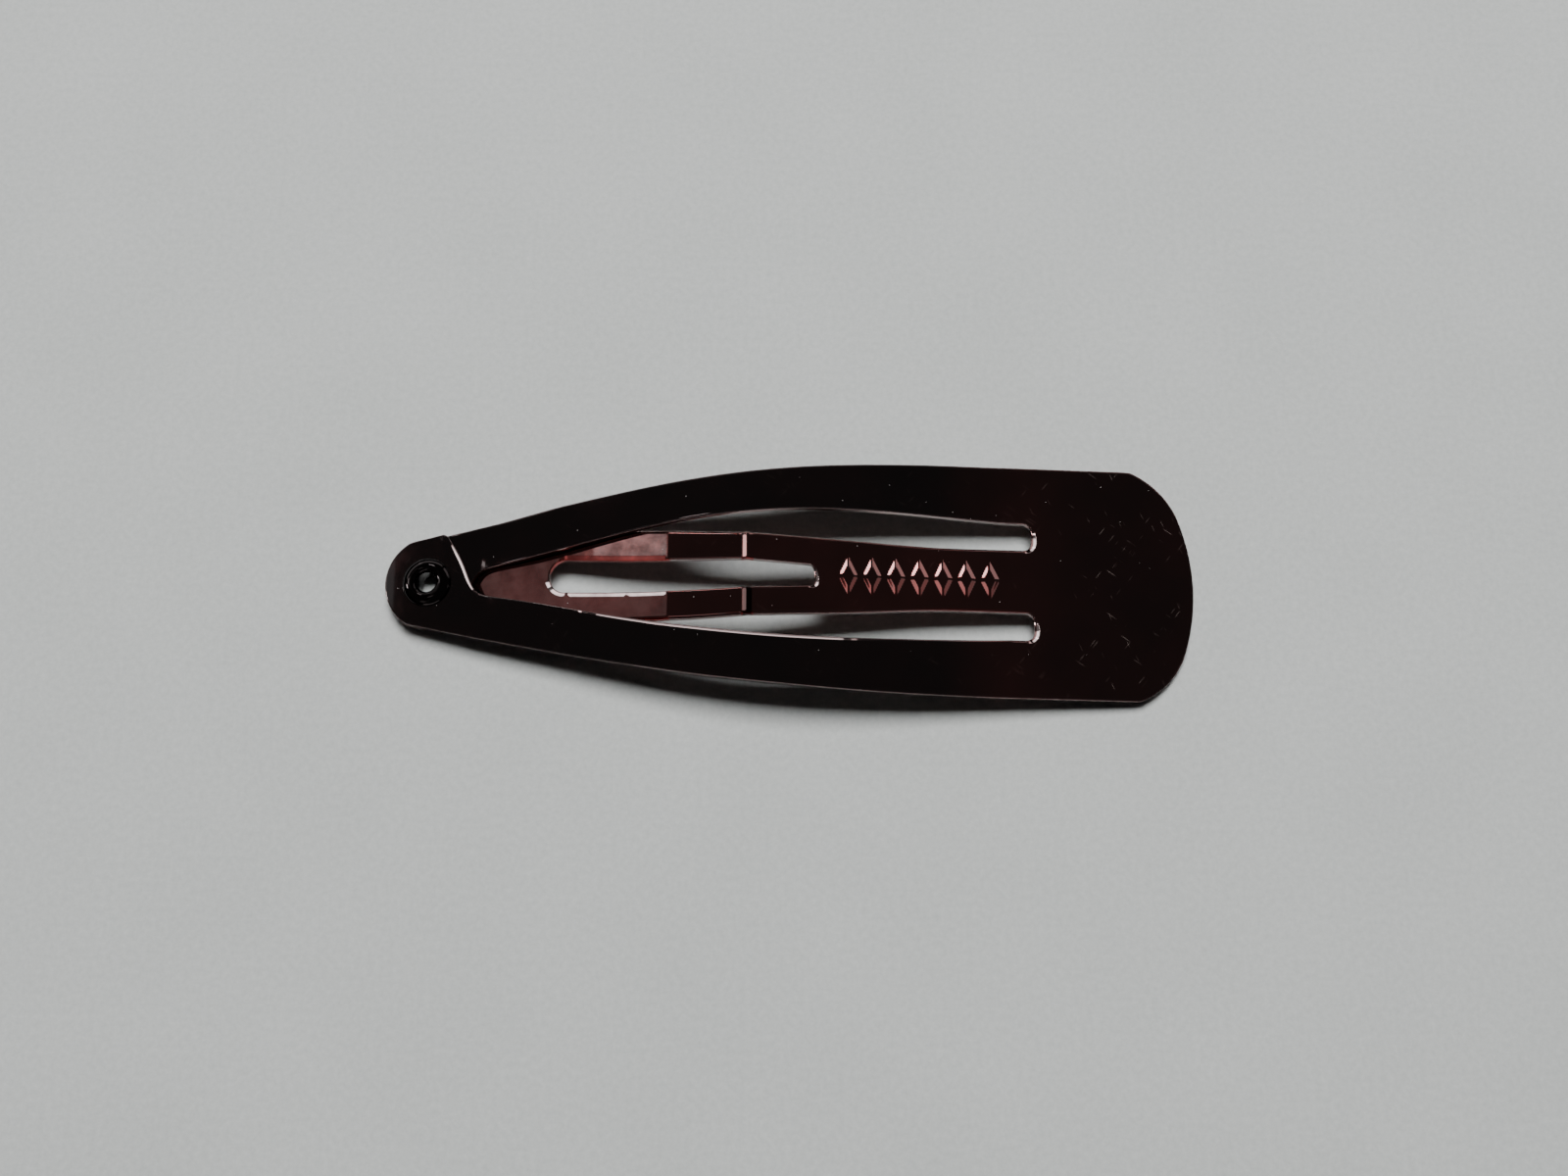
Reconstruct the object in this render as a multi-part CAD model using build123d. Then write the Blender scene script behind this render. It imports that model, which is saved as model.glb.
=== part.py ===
from build123d import *
from math import cos, radians, sin, tan
import os

# A snap hair clip, lying closed. One blank of spring sheet carries the wide plate, the
# tongue and two arms; the arms' ends are lapped at the narrow end and held by an eyelet.
# X runs along the clip with the plate at +X, Y across it and Z up. The origin is on the
# surface that the clip lies on, under the middle of its length and width. Millimetres.

# Sheet and overall sizes
clip_length = 50.0
clip_width = 14.7
sheet = 0.5

# Wide end: a flat plate that slopes down to its rounded edge
plate_length = 11.5
plate_tilt = 6.8
plate_shoulder = 3.7
plate_end_half = 4.6
plate_end_sag = 0.85
plate_corner_bulge = 0.27

# Slots between the tongue and the arms
slot_overrun = 1.4
slot_corner = 0.6
gape = 8.0

# Arms: crown height, greatest roll, and the seam where they turn on the plate
arm_crown = 4.05
arm_roll = 16.0
seam_gap = 0.04

# Narrow end, where one arm's end laps over the other's
lobe_tilt = 6.5
lobe_half = 2.6
lobe_depth = 1.5
lap_gap = 0.04
lap_edge_back = 3.7
lap_edge_flare = 0.22
throat_back = 6.0
throat_half = 0.65

# Eyelet through the lapped ends
eyelet_from_end = 2.7
bore_radius = 0.6
barrel_radius = 1.0
barrel_clearance = 0.03
flange_radius = 1.53
flange_height = 0.38
foot_radius = 1.42
foot_height = 0.35
seat_gap = 0.02
floor_gap = 0.02

# Tongue: it ends just short of the eyelet's foot and just under the lower arm
tip_gap = 0.46
tip_drop = 0.22
tongue_width = 5.7
tongue_neck = 4.0
crimp_height = 0.1
crimp_half = 0.35
tip_half = 1.75
tip_depth = 1.5
tongue_lean = 0.35

# Long opening in the tongue
window_from_root = 12.0
window_to_tip = 5.6
window_width = 2.06
window_corner = 0.3

# Raised lozenges on the tongue, one row between the window and the plate
lozenge_count = 7
lozenge_first = 1.3
lozenge_pitch = 1.45
lozenge_long = 1.1
lozenge_wide = 2.3
lozenge_rise = 0.2
lozenge_draft = 35.0

# Places that follow from the sizes
wide_x = clip_length / 2
narrow_x = -clip_length / 2
half_width = clip_width / 2
root_x = wide_x - plate_length
arm_run = root_x - narrow_x
eyelet_x = narrow_x + eyelet_from_end
plate_slope = tan(radians(plate_tilt))
lobe_slope = tan(radians(lobe_tilt))
root_top = sheet + plate_length * plate_slope
root_rise = root_top / arm_crown
foot_drop = foot_height * cos(radians(lobe_tilt)) + foot_radius * sin(radians(lobe_tilt))
under_seat = floor_gap + foot_drop + seat_gap
tip_x = eyelet_x + foot_radius + tip_gap
tongue_length = root_x - tip_x
lap_step = sheet + lap_gap
ABOVE = 10.0

# Sections of one arm, from its root on the plate to the narrow end. Shares: along of the
# arm's run, outer of the half width, inner of half the gape, rise of the crown, roll of
# the greatest roll, lap of half the step between the two lapped ends.
ARM_SECTIONS = [
    {"along": 0.000, "outer": 0.996, "inner": 0.925, "rise": root_rise, "roll": 0.00, "lap": 0.00},
    {"along": 0.117, "outer": 0.989, "inner": 0.970, "rise": 0.654, "roll": 0.25, "lap": 0.00},
    {"along": 0.247, "outer": 0.965, "inner": 1.000, "rise": 0.869, "roll": 0.69, "lap": 0.00},
    {"along": 0.377, "outer": 0.914, "inner": 0.968, "rise": 0.993, "roll": 0.94, "lap": 0.00},
    {"along": 0.506, "outer": 0.834, "inner": 0.838, "rise": 0.943, "roll": 1.00, "lap": 0.00},
    {"along": 0.636, "outer": 0.718, "inner": 0.620, "rise": 0.753, "roll": 0.56, "lap": 0.10},
    {"along": 0.766, "outer": 0.582, "inner": 0.355, "rise": 0.553, "roll": 0.28, "lap": 0.34},
    {"along": 0.850, "outer": 0.490, "inner": 0.150, "rise": None, "roll": 0.00, "lap": 1.00},
]

# The lapped end's free edge, an easy double curve from its corner to the throat. Back from
# the narrow end, and across from the clip's axis.
LAP_EDGE = [
    {"back": 4.45, "across": -1.95},
    {"back": 4.95, "across": -1.00},
    {"back": 5.50, "across": 0.20},
]

# Bends of the tongue seen from the side. Shares: along of the tongue's length, rise of the
# arms' crown. The knee, where the tongue leaves the plate's slope, comes before them.
TONGUE_KNEE = 0.31
TONGUE_BENDS = [
    {"name": "crimp", "along": 0.475, "rise": 0.963},
    {"name": "bend", "along": 0.628, "rise": 0.810},
]

# Sections of the tongue, from the slots' ends to where the tip's round starts. Shares:
# along of the tongue's length, half of half its width, lean of the sideways lean.
TONGUE_SECTIONS = [
    {"along": 0.13, "half": tongue_neck / tongue_width, "lean": 0.0},
    {"along": 0.28, "half": 0.793, "lean": 0.0},
    {"along": 0.43, "half": 0.877, "lean": 0.0},
    {"along": 0.58, "half": 0.961, "lean": 0.0},
    {"along": 0.72, "half": 1.000, "lean": 0.45},
    {"along": 0.87, "half": 0.895, "lean": 0.92},
]

# Sections of the window in the tongue. Shares: along of its length from the end by the
# plate, half of half its width, lean as above.
WINDOW_SECTIONS = [
    {"along": 0.00, "half": 0.63, "lean": 0.0},
    {"along": 0.12, "half": 0.75, "lean": 0.0},
    {"along": 0.27, "half": 0.86, "lean": 0.0},
    {"along": 0.58, "half": 0.94, "lean": 0.0},
    {"along": 0.94, "half": 1.00, "lean": 0.9},
]


def prism(outline):
    """The flat outline drawn up into a block taller than the clip."""
    return extrude(Pos(0, 0, -ABOVE) * outline, amount=3 * ABOVE)


def lobe_top(x, side):
    """Top of an arm's lapped end at x; side is -1 for the arm below, 1 for the one above."""
    middle = under_seat + sheet + lap_step / 2 + (x - eyelet_x) * lobe_slope
    return middle + side * lap_step / 2


def plate_top(x):
    """Top of the plate, and of the tongue as far as its knee."""
    return sheet + (wide_x - x) * plate_slope


def arm_slab(side):
    """The bent and rolled sheet that one arm is cut from, on the +Y side."""
    rows = []
    for row in ARM_SECTIONS:
        x = root_x - row["along"] * arm_run
        middle = (row["outer"] * half_width + row["inner"] * gape / 2) / 2
        if row["rise"] is None:
            top = lobe_top(x, side)
        else:
            top = row["rise"] * arm_crown + side * row["lap"] * lap_step / 2
        rows.append((x, middle, top, tan(radians(row["roll"] * arm_roll))))
    lobe_start = rows[-1][0]
    beyond = narrow_x - sheet
    bent_rails = []
    flat_rails = []
    for y in (-half_width, clip_width):
        points = [(x, y, top + lean * (middle - y)) for x, middle, top, lean in rows]
        bent_rails.append(Spline(*points, tangents=[(-1, 0, plate_slope), (-1, 0, -lobe_slope)]))
        flat_rails.append(Line(*[(x, y, lobe_top(x, side)) for x in (lobe_start, beyond)]))
    slab = Part()
    for rails in (bent_rails, flat_rails):
        slab += extrude(Face.make_surface_from_curves(*rails), amount=sheet, dir=(0, 0, -1))
    return slab


def arm_outline():
    """One arm seen from above, on the +Y side, with its rounded and lapped end."""
    lobe_x = narrow_x + lobe_depth
    start_x = root_x - seam_gap
    outer = [(root_x - row["along"] * arm_run, row["outer"] * half_width) for row in ARM_SECTIONS]
    inner = [(root_x - row["along"] * arm_run, row["inner"] * gape / 2) for row in ARM_SECTIONS[:-1]]
    outer[0] = (start_x, outer[0][1])
    inner[0] = (start_x, inner[0][1])
    lap_x = narrow_x + lap_edge_back
    lap_half = lobe_half + (lap_edge_back - lobe_depth) * lap_edge_flare
    lap_edge = [(narrow_x + row["back"], row["across"]) for row in LAP_EDGE]
    throat = (narrow_x + throat_back, throat_half)
    edges = [
        Spline(*outer, (lobe_x, lobe_half)),
        ThreePointArc((lobe_x, lobe_half), (narrow_x, 0), (lobe_x, -lobe_half)),
        Line((lobe_x, -lobe_half), (lap_x, -lap_half)),
        Spline((lap_x, -lap_half), *lap_edge, throat),
        Spline(throat, *reversed(inner)),
        Line(inner[0], outer[0]),
    ]
    return make_face(edges)


def eyelet_place():
    """Middle of the lapped ends on the eyelet's axis, square to the sloping sheet."""
    return Pos(eyelet_x, 0, lobe_top(eyelet_x, -1)) * Rot(0, -lobe_tilt, 0)


def arm(side):
    """An arm on the +Y side for side -1 (lapped below), on the -Y side for side 1."""
    body = prism(arm_outline()) & arm_slab(side)
    if side > 0:
        body = mirror(body, about=Plane.XZ)
    return body - eyelet_place() * Cylinder(barrel_radius + barrel_clearance, ABOVE)


def flip(point):
    """The same place on the other side of the clip's long axis."""
    return point[0], -point[1]


def blank_outline():
    """The plate and the tongue in one, seen from above, with the slots and the window."""
    shoulder = (wide_x - plate_shoulder, half_width)
    corner = (wide_x - plate_end_sag, plate_end_half)
    root = (root_x, ARM_SECTIONS[0]["outer"] * half_width)
    between = tuple((a + b) / 2 + plate_corner_bulge for a, b in zip(shoulder, corner))
    plate = make_face([
        Line(root, shoulder),
        ThreePointArc(shoulder, between, corner),
        ThreePointArc(corner, (wide_x, 0), flip(corner)),
        ThreePointArc(flip(corner), flip(between), flip(shoulder)),
        Line(flip(shoulder), flip(root)),
        Line(flip(root), root),
    ])
    slot_in = tongue_neck / 2
    slot_out = ARM_SECTIONS[0]["inner"] * gape / 2
    slot_middle = (slot_in + slot_out) / 2
    for side in (-1, 1):
        slot = Pos(root_x, side * slot_middle) * Rectangle(2 * slot_overrun, slot_out - slot_in)
        plate -= fillet(slot.vertices().group_by(Axis.X)[-1], slot_corner)
    return plate + tongue_outline() - window_outline()


def sections(table, start_x, length, width):
    """Points of the two edges of a strip that runs towards the narrow end."""
    upper = []
    lower = []
    for row in table:
        x = start_x - row["along"] * length
        middle = row["lean"] * tongue_lean
        upper.append((x, middle + row["half"] * width / 2))
        lower.append((x, middle - row["half"] * width / 2))
    return upper, lower


def tongue_outline():
    """The tongue seen from above, from inside the plate to its round tip."""
    start_x = root_x + slot_overrun
    upper, lower = sections(TONGUE_SECTIONS, root_x, tongue_length, tongue_width)
    neck = tongue_neck / 2
    round_x = tip_x + tip_depth
    top = (round_x, tongue_lean + tip_half)
    bottom = (round_x, tongue_lean - tip_half)
    inside = start_x + slot_corner
    return make_face([
        Line((inside, -neck), (inside, neck)),
        Line((inside, neck), upper[0]),
        Spline(*upper, top, tangents=[(-1, 0), (-1, -1)]),
        ThreePointArc(top, (tip_x, tongue_lean), bottom),
        Spline(bottom, *reversed(lower), tangents=[(1, -1), (1, 0)]),
        Line(lower[0], (inside, -neck)),
    ])


def window_outline():
    """The long opening in the tongue, round at the narrow end."""
    start_x = root_x - window_from_root
    end_x = tip_x + window_to_tip
    upper, lower = sections(WINDOW_SECTIONS, start_x, start_x - end_x, window_width)
    far_end = (end_x, tongue_lean * WINDOW_SECTIONS[-1]["lean"])
    window = make_face([
        Line(lower[0], upper[0]),
        Spline(*upper),
        ThreePointArc(upper[-1], far_end, lower[-1]),
        Spline(*reversed(lower)),
    ])
    return fillet(window.vertices().group_by(Axis.X)[-1], window_corner)


def blank_slab():
    """The plate and the tongue seen from the side: straight runs of sheet and soft bends."""
    knee_x = root_x - TONGUE_KNEE * tongue_length
    crimp_x, bend_x = [root_x - row["along"] * tongue_length for row in TONGUE_BENDS]
    crimp_top, bend_top = [row["rise"] * arm_crown for row in TONGUE_BENDS]
    tip_top = lobe_top(tip_x, -1) - sheet - tip_drop
    tail_slope = (bend_top - tip_top) / (bend_x - tip_x)
    beyond_x = tip_x - plate_length
    beyond_wide = wide_x + plate_length
    top_line = [
        (beyond_wide, plate_top(beyond_wide)),
        (knee_x, plate_top(knee_x)),
        (crimp_x + crimp_half, crimp_top),
        (crimp_x, crimp_top + crimp_height),
        (crimp_x - crimp_half, crimp_top),
        (bend_x, bend_top),
        (beyond_x, bend_top - tail_slope * (bend_x - beyond_x)),
    ]
    middle_line = [(x, z - sheet / 2) for x, z in top_line]
    bends = [8 * sheet, sheet, 0.7 * sheet, sheet, 2 * sheet]
    side = Plane.XZ * trace(FilletPolyline(*middle_line, radius=bends), line_width=sheet)
    return extrude(side, amount=clip_width, both=True)


def lozenges():
    """Raised lozenges that stand on the straight part of the tongue."""
    bosses = []
    for number in range(lozenge_count):
        x = root_x - lozenge_first - number * lozenge_pitch
        seat = Pos(x, 0, plate_top(x) - sheet / 2) * Rot(0, plate_tilt, 0)
        half_long = lozenge_long / 2
        half_wide = lozenge_wide / 2
        ring = [(half_long, 0), (0, half_wide), (-half_long, 0), (0, -half_wide)]
        foot = seat * make_face(Polyline(*ring, close=True))
        bosses.append(extrude(foot, amount=sheet / 2))
        face = seat * Pos(0, 0, sheet / 2) * make_face(Polyline(*ring, close=True))
        bosses.append(extrude(face, amount=lozenge_rise, taper=lozenge_draft))
    return bosses


def plate_and_tongue():
    """The part of the blank that lies still: the plate with the tongue."""
    body = prism(blank_outline()) & blank_slab()
    for boss in lozenges():
        body += boss
    return body


def eyelet():
    """A rolled eyelet: a tube with a round flange on top and a smaller foot below."""
    under = -(sheet + seat_gap)
    over = lap_step + seat_gap
    crest = over + flange_height
    base = under - foot_height
    crest_radius = (bore_radius + flange_radius) / 2
    foot_middle = (bore_radius + foot_radius) / 2
    profile = make_face(Plane.XZ * Curve([
        Line((bore_radius, base + foot_height / 2), (bore_radius, crest - flange_height / 2)),
        ThreePointArc(
            (bore_radius, crest - flange_height / 2), (crest_radius, crest), (flange_radius, over)
        ),
        Line((flange_radius, over), (barrel_radius, over)),
        Line((barrel_radius, over), (barrel_radius, under)),
        Line((barrel_radius, under), (foot_radius, under)),
        ThreePointArc(
            (foot_radius, under), (foot_middle, base), (bore_radius, base + foot_height / 2)
        ),
    ]))
    return eyelet_place() * revolve(profile, axis=Axis.Z)


nodes = {
    "plate_and_tongue": plate_and_tongue(),
    "under_arm": arm(-1),
    "over_arm": arm(1),
    "eyelet": eyelet(),
}
os.makedirs("parts", exist_ok=True)
for name, shape in nodes.items():
    export_step(shape, f"parts/{name}.step")
    print(name, "volume", round(shape.volume, 3), "solids", len(shape.solids()))
print("hinge axis at x", round(root_x - seam_gap, 3), "z", round(root_top, 3))
print("eyelet axis at x", round(eyelet_x, 3), "z", round(lobe_top(eyelet_x, -1), 3))
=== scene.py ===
# %% [markdown]
# # A snap hair clip in dark lacquer
# The clip is one blank of spring sheet: a wide plate, a tongue with a long window, and two
# arched arms whose ends are lapped and held by a small rolled eyelet. It could be modelled
# from nothing, but the packed model already holds the frame, the two bodies and the real
# sizes. So the looks are built round it, in the same place and size.

# %% Load the packed model
import math

import bpy
import numpy as np
from mathutils import Matrix, Vector
from mathutils.geometry import delaunay_2d_cdt
from mathutils.kdtree import KDTree


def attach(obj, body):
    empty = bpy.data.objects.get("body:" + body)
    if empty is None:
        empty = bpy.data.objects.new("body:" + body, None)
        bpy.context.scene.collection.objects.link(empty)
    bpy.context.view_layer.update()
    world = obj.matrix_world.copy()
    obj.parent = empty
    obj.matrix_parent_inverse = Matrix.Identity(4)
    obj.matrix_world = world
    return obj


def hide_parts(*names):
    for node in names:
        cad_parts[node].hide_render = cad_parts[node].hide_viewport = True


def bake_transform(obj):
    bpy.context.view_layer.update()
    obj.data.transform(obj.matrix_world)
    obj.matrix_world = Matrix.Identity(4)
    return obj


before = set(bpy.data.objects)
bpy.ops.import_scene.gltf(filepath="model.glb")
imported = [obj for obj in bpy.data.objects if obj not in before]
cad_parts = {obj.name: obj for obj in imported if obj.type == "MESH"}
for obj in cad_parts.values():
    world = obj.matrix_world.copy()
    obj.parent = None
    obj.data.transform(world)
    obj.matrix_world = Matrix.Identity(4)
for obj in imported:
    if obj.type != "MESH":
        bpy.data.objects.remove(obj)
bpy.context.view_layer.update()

# %% [markdown]
# ## Sizes
# The real clip was drawn in millimetres. Its sizes could be turned to metres at once, but a
# maker reads millimetres more easily, so they stay in millimetres until a mesh is made. The
# shares in the tables are those that the solids follow, so that each visible sheet lies where
# its solid is.

# %% Sizes of the blank
# A slope is rise over run. GAPE is the widest gap between the arms, ROLL an arm's most in
# degrees, and LAP_STEP goes from one lapped end's top to the other's.
MM = 0.001
LENGTH = 50.0
WIDTH = 14.7
SHEET = 0.5
PLATE_LENGTH = 11.5
PLATE_SLOPE = math.tan(math.radians(6.8))
LOBE_SLOPE = math.tan(math.radians(6.5))
GAPE = 8.0
CROWN = 4.05
ROLL = 16.0
LAP_STEP = 0.54
HALF = WIDTH / 2
WIDE_X = LENGTH / 2
NARROW_X = -LENGTH / 2
ROOT_X = WIDE_X - PLATE_LENGTH
SEAM_X = ROOT_X - 0.02
RUN = ROOT_X - NARROW_X
EYELET_X = NARROW_X + 2.7
TIP_X = EYELET_X + 1.88
TONGUE = ROOT_X - TIP_X
UNDER_SEAT = 0.5485
print("arm's run", RUN, "tongue's length", TONGUE)


# %% [markdown]
# ## Curves
# The edges and heights of a pressed clip run in long easy curves through a few places that can
# be measured. Blender's own curve objects could draw them, but the meshes here ask for the
# value at any x. So a cubic spline is solved once for its places and kept as a function.

# %% Curves through a few places
def smooth(places, first=None, last=None):
    """A curve with no kink through (x, value) places, straight beyond them."""
    xs, values = np.array(sorted(places), float).T
    gaps = np.diff(xs)
    steep = np.diff(values) / gaps
    count = len(xs)
    left = np.zeros((count, count))
    right = np.zeros(count)
    for i in range(1, count - 1):
        left[i, i - 1:i + 2] = gaps[i], 2 * (gaps[i - 1] + gaps[i]), gaps[i - 1]
        right[i] = 3 * (gaps[i] * steep[i - 1] + gaps[i - 1] * steep[i])
    ends = ((0, 1, steep[0], first), (count - 1, count - 2, steep[-1], last))
    for i, near, slope, given in ends:
        left[i, i] = 2 if given is None else 1
        left[i, near] = 1 if given is None else 0
        right[i] = 3 * slope if given is None else given
    slopes = np.linalg.solve(left, right)

    def curve(x):
        x = np.asarray(x, float)
        held = np.clip(x, xs[0], xs[-1])
        i = np.clip(np.searchsorted(xs, held) - 1, 0, count - 2)
        t = (held - xs[i]) / gaps[i]
        value = (
            (2 * t**3 - 3 * t**2 + 1) * values[i]
            + (t**3 - 2 * t**2 + t) * gaps[i] * slopes[i]
            + (3 * t**2 - 2 * t**3) * values[i + 1]
            + (t**3 - t**2) * gaps[i] * slopes[i + 1]
        )
        end = np.where(x < xs[0], slopes[0], slopes[-1])
        return value + (x - held) * end

    return curve


print("halfway up a smooth hump:", float(smooth([(0, 0), (1, 1), (2, 0)])(0.5)))


# %% Fading along the clip
def fade(x, start, reach):
    """0 at start and 1 a reach further on, straight between. A negative reach goes left."""
    return np.clip((x - start) / reach, 0, 1)


def stretch(x, start, rise, end, fall):
    """1 along a stretch, which fades in over its rise and out over its fall."""
    return fade(x, start, rise) * fade(x, end, -fall)


print("share 1 mm into a 2 mm fade:", float(fade(1.0, 0.0, 2.0)))

# %% [markdown]
# ## The form of the arms
# Each arm is a strip of sheet that arches up from the plate and rolls so that its inner edge
# stands higher than its outer one. It could be a lofted or a subdivided strip, moved by hand.
# Here one table of sections, the one that the solids use, gives its edges and its height, so
# that the visible arm can't drift from the solid. The far arm's end lies below and the near
# arm's end on top, a little over one thickness of sheet apart.

# %% Sections of an arm
ARM = [
    {"along": 0.000, "outer": 0.996, "inner": 0.925, "rise": 0.462, "roll": 0.00, "lap": 0.00},
    {"along": 0.117, "outer": 0.989, "inner": 0.970, "rise": 0.654, "roll": 0.25, "lap": 0.00},
    {"along": 0.247, "outer": 0.965, "inner": 1.000, "rise": 0.869, "roll": 0.69, "lap": 0.00},
    {"along": 0.377, "outer": 0.914, "inner": 0.968, "rise": 0.993, "roll": 0.94, "lap": 0.00},
    {"along": 0.506, "outer": 0.834, "inner": 0.838, "rise": 0.943, "roll": 1.00, "lap": 0.00},
    {"along": 0.636, "outer": 0.718, "inner": 0.620, "rise": 0.753, "roll": 0.56, "lap": 0.10},
    {"along": 0.766, "outer": 0.582, "inner": 0.355, "rise": 0.553, "roll": 0.28, "lap": 0.34},
    {"along": 0.850, "outer": 0.490, "inner": 0.150, "rise": None, "roll": 0.00, "lap": 1.00},
]
print("sections of an arm:", len(ARM))

# %% Edges and roll of an arm
CROWN_X = -2.0
LOBE_SHOULDER = (NARROW_X + 1.5, 2.6)
THROAT_X = NARROW_X + 6.6
THROAT_HALF = 0.99


def section_x(row):
    """Where a section stands along the clip."""
    return ROOT_X - row["along"] * RUN


outer_edge = smooth([(section_x(r), r["outer"] * HALF) for r in ARM] + [LOBE_SHOULDER])
inner_places = [(section_x(r), r["inner"] * GAPE / 2) for r in ARM[:-1]]
inner_edge = smooth(inner_places + [(THROAT_X, THROAT_HALF)])
roll_at = smooth([(section_x(r), r["roll"] * ROLL) for r in ARM])
print("arm's width at its crown:", float(outer_edge(CROWN_X) - inner_edge(CROWN_X)), "mm")

# %% Height of an arm
CURL = 0.02
CURL_FROM = 1.0
CURL_STRETCH = (-22.0, 1.5, -14.5, 3.0)


def lobe_top(x, side):
    """Top of a lapped end; side is -1 for the arm below and 1 for the arm above."""
    return UNDER_SEAT + SHEET + LAP_STEP / 2 + (x - EYELET_X) * LOBE_SLOPE + side * LAP_STEP / 2


def arm_form(side):
    """The height of one arm's top over any place, as a function."""
    flat = []
    leaning = []
    for row in ARM:
        x = section_x(row)
        middle = (row["outer"] * HALF + row["inner"] * GAPE / 2) / 2
        lean = math.tan(math.radians(row["roll"] * ROLL))
        if row["rise"] is None:
            top = lobe_top(x, side)
        else:
            top = row["rise"] * CROWN + side * row["lap"] * LAP_STEP / 2
        flat.append((x, top + lean * middle))
        leaning.append((x, lean))
    height = smooth(flat, first=LOBE_SLOPE, last=-PLATE_SLOPE)
    lean_at = smooth(leaning, first=0, last=0)

    def top_of(x, y):
        """The arm below curls down a little towards its outer edge near the lap."""
        curled = stretch(x, *CURL_STRETCH) * (side < 0)
        outward = np.maximum(np.abs(y) - CURL_FROM, 0)
        return height(x) - lean_at(x) * np.abs(y) - CURL * curled * outward**2

    return top_of


print("arm at its crown:", float(arm_form(1)(CROWN_X, 5.0)), "mm high")

# %% [markdown]
# ## The form of the plate and the tongue
# From the side, the plate and the root of the tongue are one straight slope. The tongue then
# steepens a little at a knee, has a fine crimp pressed across it, and falls away after a bend.
# A bevel on a few edges could round these folds. Sheet metal bends over short arcs of known
# width, so here each change of slope is spread over its own width in the height function.

# %% Side view of the tongue
KNEE_U = 0.31 * TONGUE
CRIMP_U = 0.475 * TONGUE
BEND_U = 0.616 * TONGUE
CRIMP_HALF = 0.31
CRIMP_RISE = 0.13
CRIMP_TOP = 0.963 * CROWN
BEND_TOP = 0.822 * CROWN
TIP_TOP = 0.543
KNEE_SPREAD, CRIMP_SPREAD, BEND_SPREAD = 2.0, 0.10, 0.16
CRIMP_X = ROOT_X - CRIMP_U
FOLDS = (CRIMP_U - CRIMP_HALF, CRIMP_U, CRIMP_U + CRIMP_HALF, BEND_U)
crease_places = [ROOT_X - u for u in FOLDS]


def plate_top(x):
    """The slope of the plate."""
    return SHEET + (WIDE_X - x) * PLATE_SLOPE


print("creases of the tongue at x =", [round(x, 2) for x in crease_places])


# %% Height of the tongue
def tongue_form():
    """The height of the plate's and the tongue's top over any place, as a function."""
    places = [
        (KNEE_U, plate_top(ROOT_X - KNEE_U), KNEE_SPREAD),
        (CRIMP_U - CRIMP_HALF, CRIMP_TOP, CRIMP_SPREAD),
        (CRIMP_U, CRIMP_TOP + CRIMP_RISE, CRIMP_SPREAD),
        (CRIMP_U + CRIMP_HALF, CRIMP_TOP, CRIMP_SPREAD),
        (BEND_U, BEND_TOP, BEND_SPREAD),
        (TONGUE, TIP_TOP, None),
    ]
    before = PLATE_SLOPE
    turns = []
    for (u, top, spread), (next_u, next_top, _) in zip(places, places[1:]):
        after = (next_top - top) / (next_u - u)
        turns.append((u, after - before, spread))
        before = after

    def top_of(x, y):
        u = ROOT_X - np.asarray(x, float)
        height = plate_top(x)
        for at, turn, spread in turns:
            past = np.clip(u - at + spread / 2, 0, spread)
            beyond = np.maximum(u - at - spread / 2, 0)
            height = height + turn * (past**2 / (2 * spread) + beyond)
        return height

    return top_of


print("tongue at its crimp:", float(tongue_form()(CRIMP_X, 0)), "mm high")


# %% [markdown]
# ## Outlines
# A punched blank has a clean outline of straight runs, arcs and long easy curves, with every
# sharp corner slightly eased. Curve objects could draw it, but their points are not where the
# rim needs them. So each outline is drawn as a chain of close points, evenly spaced, with the
# metal always on its left, so that holes run the other way round.

# %% An arc through three places
def arc(start, through, end, count=40):
    """Points of the arc from start to end that passes the middle point."""
    (ax, ay), (bx, by), (cx, cy) = start, through, end
    d = 2 * (ax * (by - cy) + bx * (cy - ay) + cx * (ay - by))
    a2, b2, c2 = ax**2 + ay**2, bx**2 + by**2, cx**2 + cy**2
    ox = (a2 * (by - cy) + b2 * (cy - ay) + c2 * (ay - by)) / d
    oy = (a2 * (cx - bx) + b2 * (ax - cx) + c2 * (bx - ax)) / d
    first, middle, last = (math.atan2(y - oy, x - ox) for x, y in (start, through, end))
    turn = (last - first) % (2 * math.pi)
    if (middle - first) % (2 * math.pi) > turn:
        turn -= 2 * math.pi
    radius = math.hypot(ax - ox, ay - oy)
    angles = first + turn * np.linspace(0, 1, count)
    return [(ox + radius * math.cos(a), oy + radius * math.sin(a)) for a in angles]


print("top of a unit arc:", arc((1, 0), (0, 1), (-1, 0), 3)[1])


# %% Straight runs, edges and round holes
def straight(start, end, count=12):
    """Points of a straight run."""
    return [tuple(p) for p in np.linspace(start, end, count)]


def edge_run(start_x, end_x, edge, count=160):
    """Points along an edge that is given as a function of x."""
    return [(x, float(edge(x))) for x in np.linspace(start_x, end_x, count)]


def hole(x, y, radius, count=48):
    """A round hole, drawn clockwise, with its flags for points on a cut."""
    angles = -np.linspace(0, 2 * math.pi, count, endpoint=False)
    points = np.column_stack([x + radius * np.cos(angles), y + radius * np.sin(angles)])
    return points, np.zeros(count, bool)


print("points of an arm's outer edge:", len(edge_run(SEAM_X, LOBE_SHOULDER[0], outer_edge)))


# %% Easing a corner
def nearest(points, place):
    """The number of the point nearest to a place."""
    return int(np.argmin(np.hypot(*(points - place).T)))


def lengths_along(points):
    """How far along the line each of its points lies."""
    return np.concatenate([[0], np.cumsum(np.hypot(*np.diff(points, axis=0).T))])


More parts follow.
